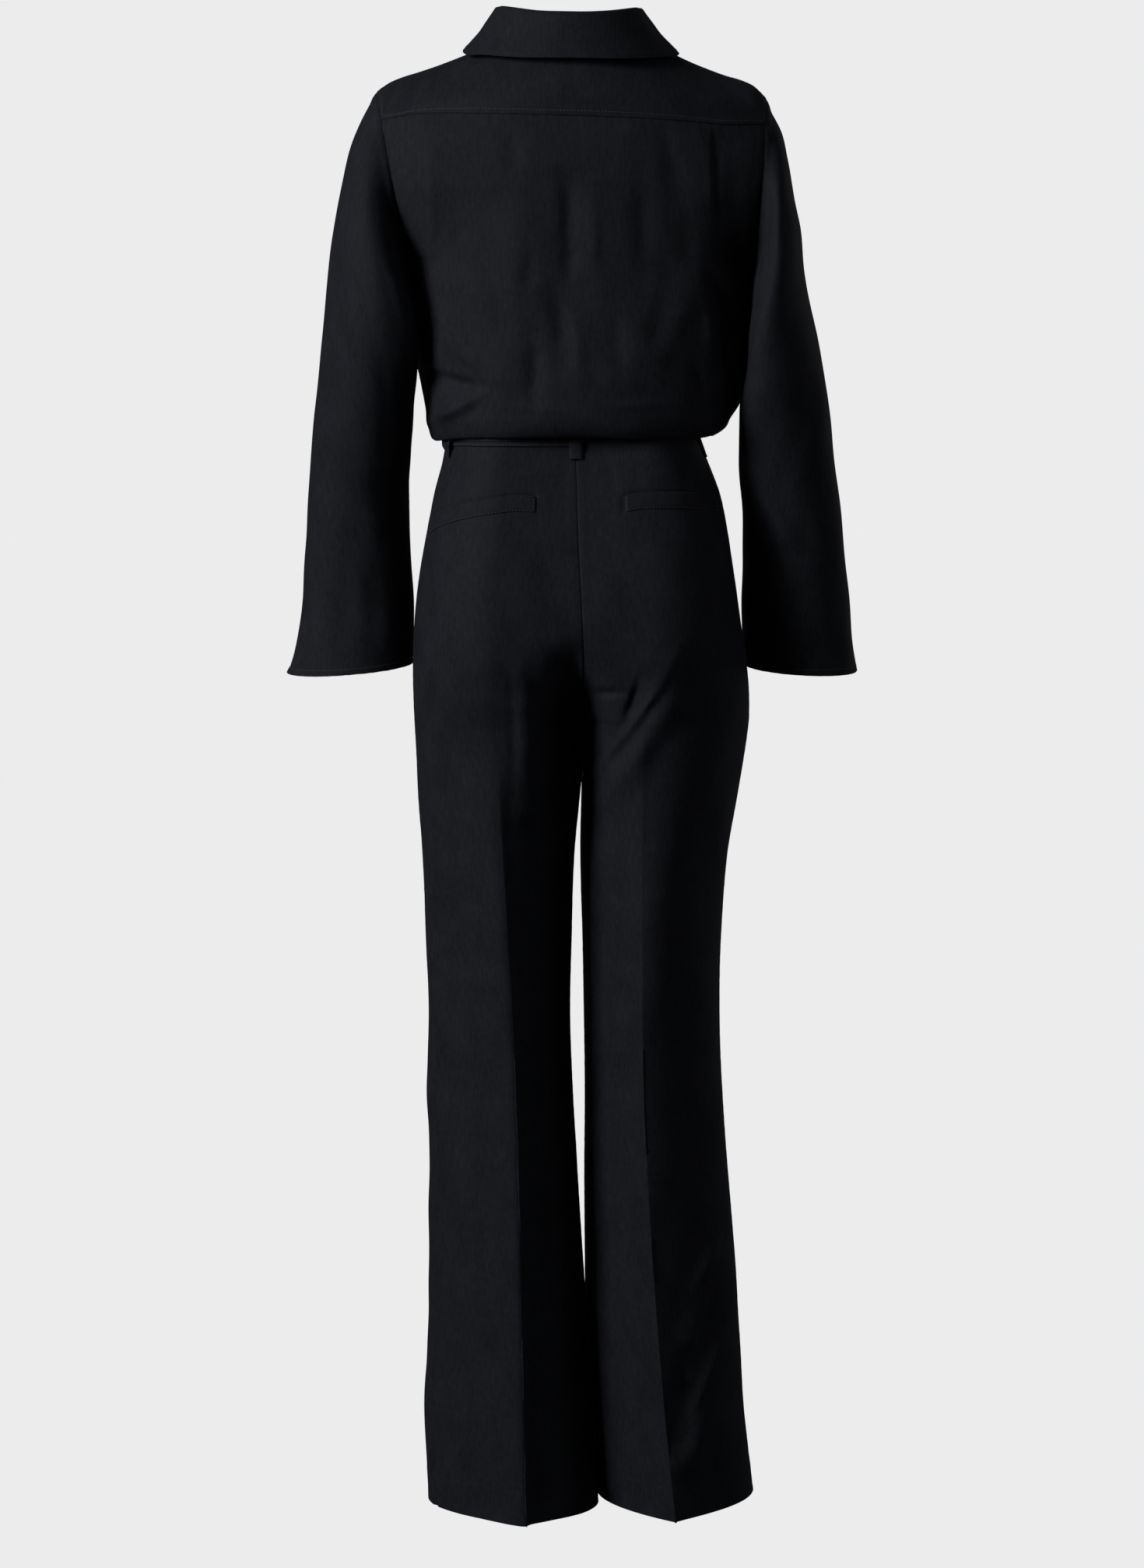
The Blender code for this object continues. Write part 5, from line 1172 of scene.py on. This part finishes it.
def leg_heights():
    heights = [z for start, end, step in LEG_BANDS for z in np.arange(start, end, -step)]
    heights += [HEM_Z + d for d in HEM_ROWS] + [CROTCH_Z]
    heights = sorted({round(float(z), 5) for z in heights}, reverse=True)
    return [z for k, z in enumerate(heights)
            if z in (heights[0], heights[-1], CROTCH_Z) or heights[k - 1] - z > CLOSEST_ROWS]


def leg_places():
    places = {round(2.0 - k / OUTER_COLUMNS, 5) for k in range(OUTER_COLUMNS)} | CREASE_COLUMNS
    places |= {round(1.0 - k / INNER_COLUMNS, 5) for k in range(INNER_COLUMNS + 1)}
    for distance in EDGE_STEPS[:5]:
        places |= {round(2.0 - distance / OUTER_BREADTH, 5), round(distance / INNER_BREADTH, 5)}
    return sorted(places, reverse=True)


HEIGHTS, PLACES = leg_heights(), leg_places()

Welt = namedtuple("Welt", "inner_place outer_place inner_z outer_z rise")
WELTS = {"left": Welt(0.56, 1.80, -0.4478, -0.4705, 0.0045),
         "right": Welt(0.70, 1.72, -0.4470, -0.4495, 0.0040)}


def welt_line(side):
    """Places and heights of a welt's middle, outwards on the right and inwards on the left."""
    welt = WELTS[side]
    shares = [k / WELT_CELLS if side == "right" else 1.0 - k / WELT_CELLS for k in range(WELT_CELLS + 1)]
    return [(mix(welt.inner_place, welt.outer_place, s),
             mix(welt.inner_z, welt.outer_z, s ** 1.6) + welt.rise * 4.0 * s * (1.0 - s)) for s in shares]


def pocket_slit(side, points):
    """The groove of a pocket's mouth, just above its welt, and a shorter one at the welt's inner end."""
    path = np.array([(leg_point(side, 1, z, place).x, z + 0.5 * WELT_HEIGHT + 0.0006)
                     for place, z in welt_line(side)])
    if side == "right":
        path = np.concatenate([path[:1] + [[0.0012, -WELT_HEIGHT * (1 - k / 8)] for k in range(8)], path])
    gap = np.full(points.shape[:2], 1.0)
    for x, z in path:
        gap = np.minimum(gap, np.hypot(points[..., 0] - x, points[..., 2] - z))
    return stripe(gap, -0.0013, 0.0, 0.0013) + stripe(gap, -0.0005, 0.0, 0.004)


RIGHT_FILL = 0.0095        # how far the right leg is filled out beyond its crease
LEFT_RISE = 0.0030         # how far the left leg stands out beyond its crease
LEFT_HOLLOW = 0.0042       # how far it dips between its crease and its inside seam
SEAT_HOLLOW = 0.014        # under the left seat


def back_relief(side, z, place, x):
    """How far the back of a leg stands out from its sections."""
    if side == "right":
        return (RIGHT_FILL * ramp(place, 1.0, 1.38) * ramp(place, 1.90, 1.42) * ramp(z, -0.620, -0.700)
                * (1.0 - 0.6 * ramp(z, -0.820, -1.000)) * (1.0 - ramp(z, -1.060, -1.220)))
    crease = ramp(z, -0.680, -0.760) * (LEFT_RISE * ramp(place, 1.0, 1.22) * ramp(place, 1.62, 1.30)
                                        - LEFT_HOLLOW * ramp(place, 1.0, 0.80) * ramp(place, 0.25, 0.62))
    from_seam = mix(ramp(place, 0.0, 0.10), 1.0, ramp(z, -0.652, -0.672))
    return crease - (SEAT_HOLLOW * ramp(x, 0.030, 0.004) * ramp(z, -0.572, -0.635)
                     * (1.0 - ramp(z, -0.690, -0.790)) * from_seam)


def fine_leg(side, face, seed):
    reverse = (side == "left") != (face > 0)
    order = PLACES[::-1] if reverse else PLACES
    folds = "seat" if face > 0 else "lap"
    points = np.zeros((len(HEIGHTS), len(order), 3))
    for i, z in enumerate(HEIGHTS):
        for j, place in enumerate(order):
            point = leg_point(side, face, z, place)
            point.y += face * fold_height(folds, point) * ramp(place, 0.0, 0.35) * ramp(place, 2.0, 1.75)
            if side == "right":
                lift = mix(HEM_LIFT_CREASE, HEM_LIFT_SIDE, max(place - 1.0, 0.0))
                point.z += lift * ramp(z, -1.36, HEM_Z)
            if face > 0:
                point.y += back_relief(side, z, place, point.x)
            points[i, j] = point
    name = f"trouser_{'back' if face > 0 else 'front'}_{side}"
    sides = ("seam", "side") if reverse else ("side", "seam")
    return Cloth(name, points, folds, ("", "hem", *sides), seed=seed, wave=0.0005,
                 grain=order.index(1.0) / (len(order) - 1),
                 extra=(lambda p: pocket_slit(side, p)) if face > 0 else None)


legs = {(side, face): fine_leg(side, face, 20 + n) for n, (side, face) in
        enumerate((s, f) for s in ("left", "right") for f in (1, -1))}


def leg_at(side, face, z, place):
    """A point of the fine trousers and its outward direction."""
    cloth = legs[side, face]
    i, j = place_of(z, HEIGHTS), place_of(place, PLACES)
    if (side == "left") != (face > 0):
        j = len(PLACES) - 1 - j
    return cloth.read(i, j)


# ---------------------------------------------------------------- pieces that lie on the panels
def strip(name, rows, closed=False, wave=0.00008, seed=40):
    """A strip of doubled cloth. Each row lists a point, the direction out, the height over the panel and the
    thickness there."""
    outer, inner = (np.array([[tuple(p + out * (height + layer * thick)) for p, out, height, thick in row]
                              for row in rows]) for layer in (1.0, 0.0))
    cloth = Cloth(name, outer, closed=closed, wave=wave, seed=seed)
    cloth.inner = inner
    return cloth


def profile_rows(way, profile, closed=False):
    """Rows of a strip by its profile: share across, height over the panel, thickness. Open ends thin out."""
    rows = []
    for share, height, thick in profile:
        row = way(share)
        ends = [1.0 if closed else mix(0.3, 1.0, min(k, len(row) - 1 - k, 2) / 2) for k in range(len(row))]
        rows.append([(p, out, height, thick * end) for (p, out), end in zip(row, ends)])
    return rows


def belt_way(share):
    row = []
    for side, face, first, last in (("left", 1, 2.0, 0.0), ("right", 1, 0.0, 2.0),
                                    ("right", -1, 2.0, 0.0), ("left", -1, 0.0, 2.0)):
        for k in range(BELT_CELLS):
            place = mix(first, last, k / BELT_CELLS)
            x = leg_point(side, face, -0.385, place).x
            row.append(leg_at(side, face, belt_middle(x, face > 0) + share * BELT_HEIGHT, place))
    return row + [row[0]]


# The belt's profile: rounded edges, a slight dip beside each, and the groove of a fold below the middle.
BELT_PROFILE = [(share, LAY_GAP, thick * STRAP) for share, thick in (
    (0.5, 0.35), (0.475, 0.85), (0.43, 1.0), (0.34, 0.93), (0.25, 1.04), (0.0, 1.04), (-0.14, 1.04),
    (-0.175, 0.45), (-0.21, 1.04), (-0.25, 1.04), (-0.34, 0.93), (-0.43, 1.0), (-0.475, 0.85), (-0.5, 0.35))]
OVER_BELT = LAY_GAP * 2 + STRAP
belt = strip("belt", profile_rows(belt_way, BELT_PROFILE, closed=True), closed=True)


def belt_loop(name, belt_z, edge_at, thick=STRAP, crown=0.0005, slack=0.0):
    """A loop from its top, over the belt, to its foot. It runs straight from edge to edge, with a slight
    crown, so that no seam under it shows through. edge_at(z, share) gives a point of one edge, for share 0.5
    or -0.5, and the direction out."""
    top, bottom = belt_z + 0.5 * BELT_HEIGHT, belt_z - 0.5 * BELT_HEIGHT
    heights = [*np.linspace(LOOP_TOP_Z, top + 0.0012, 4), *np.linspace(top, bottom, 5),
               *(bottom - d for d in (0.0012, 0.0030, 0.0050)),
               *(LOOP_BOTTOM_Z + d for d in (0.0035, 0.0008, 0.0))]
    rows = []
    for z in heights:
        gap = mix(LAY_GAP, OVER_BELT, ramp(z, bottom - 0.0062, bottom - 0.0012))
        gap += slack * math.sin(math.pi * (z - LOOP_BOTTOM_Z) / (LOOP_TOP_Z - LOOP_BOTTOM_Z)) ** 0.8
        (a, out_a), (b, out_b) = edge_at(z, 0.5), edge_at(z, -0.5)
        out = (out_a + out_b).normalized()
        row = []
        for k in range(LOOP_CELLS + 1):
            share = k / LOOP_CELLS
            row.append((a.lerp(b, share) + out * crown * math.sin(math.pi * share), out, gap,
                        thick * (1.0 if 0 < k < LOOP_CELLS else 0.45)))
        rows.append(row)
    return strip(name, rows, wave=0.00003, seed=31)


def centre_edge(z, share):
    side = "left" if share > 0 else "right"
    slope = (leg_point(side, 1, z, 0.1) - leg_point(side, 1, z, 0.0)).length / 0.1
    return leg_at(side, 1, z, abs(LOOP_WIDTH * share) / slope)


def left_edge(z, share):
    """The left loop hangs slack and is pinched together at its foot."""
    narrow = 1.0 - 0.72 * ramp(z, BELT_LEFT_Z - 0.5 * BELT_HEIGHT + 0.004, LOOP_BOTTOM_Z)
    return leg_at("left", 1, z, 1.71 + share * narrow * 0.0210 / OUTER_BREADTH)


def right_edge(z, share):
    return leg_at("right", 1, z, 1.89 - share * 0.0095 / OUTER_BREADTH)


loops = [belt_loop("belt_loop_back", BELT_LEFT_Z, centre_edge, 0.0021),
         belt_loop("belt_loop_left", BELT_LEFT_Z, left_edge, 0.0018, -0.0020, 0.0038),
         belt_loop("belt_loop_right", BELT_RIGHT_Z, right_edge)]


def welt_way(side):
    def way(share):
        return [leg_at(side, 1, z + share * WELT_HEIGHT, place) for place, z in welt_line(side)]
    return way


WELT_PROFILE = [(0.5, LAY_GAP, 0.0007), (0.485, LAY_GAP, 0.0015), (0.43, LAY_GAP, 0.0018),
                (0.36, LAY_GAP, 0.0015), (0.1, LAY_GAP, 0.0014), (-0.2, LAY_GAP, 0.0012),
                (-0.38, LAY_GAP, 0.0009), (-0.46, 0.0003, 0.0007), (-0.5, 0.0, 0.0004)]
welts = {side: strip("welt_" + side, profile_rows(welt_way(side), WELT_PROFILE), seed=44)
         for side in ("left", "right")}


def placket_rows():
    """Rows down the placket, each laid from one front over the edges to the other."""
    rows = []
    for z in np.linspace(PLACKET_TOP_Z - 0.006, PLACKET_FOOT_Z, PLACKET_ROWS):
        row = []
        for k in range(PLACKET_CELLS, -1, -1):
            s = 1.0 - 2.0 * k / PLACKET_CELLS
            cloth, edge = (fronts["left"], 0) if s >= 0 else (fronts["right"], -1)
            reach = cloth.across if s >= 0 else cloth.back
            heights = cloth.points[:, edge, 2]
            i = place_of(z, heights[:int(np.argmin(heights)) + 1])
            j = place_of(abs(s) * PLACKET_HALF_WIDTH, reach[int(min(i, len(heights) - 2))])
            row.append((*cloth.read(i, j), LAY_GAP, STRAP * (0.4 if k in (0, PLACKET_CELLS) else 1.0)))
        rows.append(row)
    return rows


placket = strip("front_placket", placket_rows(), wave=0.00005, seed=51)

# ---------------------------------------------------------------- make the pieces
for cloth in (yoke, back, collar, *fronts.values(), *sleeves.values(), *legs.values()):
    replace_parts(shell(cloth), cloth.name)
for cloth in (belt, *welts.values(), placket, *loops):
    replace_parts(strip_shell(cloth), cloth.name)

BELT_STITCH, WELT_STITCH, WELT_FOOT_STITCH = 0.0021, 0.0020, 0.0012
# Lines of stitches: cloth, edge, distance from it and, where one is shorter than its edge, its start and end.
STITCHES = [
    (yoke, "bottom", TOP_STITCH, 0.02, 0.98), (yoke, "start", TOP_STITCH), (yoke, "end", TOP_STITCH),
    (collar, "bottom", TOP_STITCH), (collar, "start", TOP_STITCH, 0.3, 0.98),
    (collar, "end", TOP_STITCH, 0.3, 0.98),
    (sleeves["left"], "bottom", CUFF_STITCH), (sleeves["right"], "bottom", CUFF_STITCH),
    (belt, "top", BELT_STITCH), (belt, "bottom", BELT_STITCH),
    (placket, "start", TOP_STITCH), (placket, "end", TOP_STITCH),
]
for welt in welts.values():
    STITCHES += [(welt, "start", WELT_STITCH), (welt, "end", WELT_STITCH), (welt, "bottom", WELT_FOOT_STITCH)]
stitch_mesh("topstitching", [cloth.line(*where) for cloth, *where in STITCHES])

# ---------------------------------------------------------------- stage, light and camera
FLOOR_Z, FLOOR_HALF_WIDTH, DOME_RADIUS, STAGE_GREY = -1.50, 14.0, 13.0, 0.8388


def stage_piece(name, fill):
    """A pale surface that only the camera sees. fill(work) builds its mesh."""
    work = bmesh.new()
    fill(work)
    mesh = bpy.data.meshes.new(name)
    work.to_mesh(mesh)
    work.free()
    look = Look(name)
    look.tree.nodes.remove(look.shader)
    glow = look.add("Emission", "Emission", {"Color": (STAGE_GREY, STAGE_GREY, STAGE_GREY, 1.0)})
    look.feed(look.tree.nodes["Material Output"], {"Surface": glow})
    mesh.materials.append(look.material)
    thing = bpy.data.objects.new(name, mesh)
    bpy.context.scene.collection.objects.link(thing)
    thing.visible_diffuse = thing.visible_glossy = thing.visible_transmission = thing.visible_shadow = False


stage_piece("floor", lambda work: bmesh.ops.create_grid(
    work, x_segments=1, y_segments=1, size=FLOOR_HALF_WIDTH, matrix=Matrix.Translation((0.0, 0.0, FLOOR_Z))))
stage_piece("backdrop", lambda work: bmesh.ops.create_icosphere(work, subdivisions=4, radius=DOME_RADIUS))

scene = bpy.context.scene
scene.view_settings.view_transform = "Standard"
world = bpy.data.worlds.new("studio")
scene.world = world
world.use_nodes = True
world.node_tree.nodes["Background"].inputs["Color"].default_value = (0.92, 0.96, 1.0, 1.0)
world.node_tree.nodes["Background"].inputs["Strength"].default_value = 0.032


def lamp(name, place, target, size, power, colour=(1.0, 1.0, 1.0)):
    data = bpy.data.lights.new(name, "AREA")
    data.shape = "RECTANGLE"
    data.size, data.size_y = size
    data.energy = power
    data.color = colour
    thing = bpy.data.objects.new(name, data)
    thing.location = place
    thing.rotation_euler = (Vector(target) - Vector(place)).to_track_quat("-Z", "Y").to_euler()
    scene.collection.objects.link(thing)


lamp("key", (2.75, 1.95, 0.9), (0.0, 0.0, -0.65), (1.1, 1.9), 78.0, (1.0, 0.99, 0.98))
lamp("fill", (-3.3, 1.0, 0.3), (0.0, 0.0, -0.6), (1.4, 2.4), 7.0)
lamp("front", (0.0, -3.6, 0.1), (0.0, 0.0, -0.6), (0.5, 2.2), 105.0)
lamp("front_right", (-2.4, -2.4, 0.0), (0.0, 0.0, -0.6), (1.6, 2.4), 5.0)

CAMERA_DISTANCE, CAMERA_Z, CAMERA_DROP = 3.7, -0.30, 0.429   # its view's middle lies this far below it
camera = bpy.data.cameras.new("camera")
camera.lens = 86.0
camera.sensor_width = camera.sensor_height = 36.0
camera.sensor_fit = "AUTO"
eye = bpy.data.objects.new("camera", camera)
eye.location = (0.0, CAMERA_DISTANCE, CAMERA_Z)
eye.rotation_euler = (math.radians(90.0) - math.atan(CAMERA_DROP / CAMERA_DISTANCE), 0.0, math.pi)
scene.collection.objects.link(eye)
scene.camera = eye
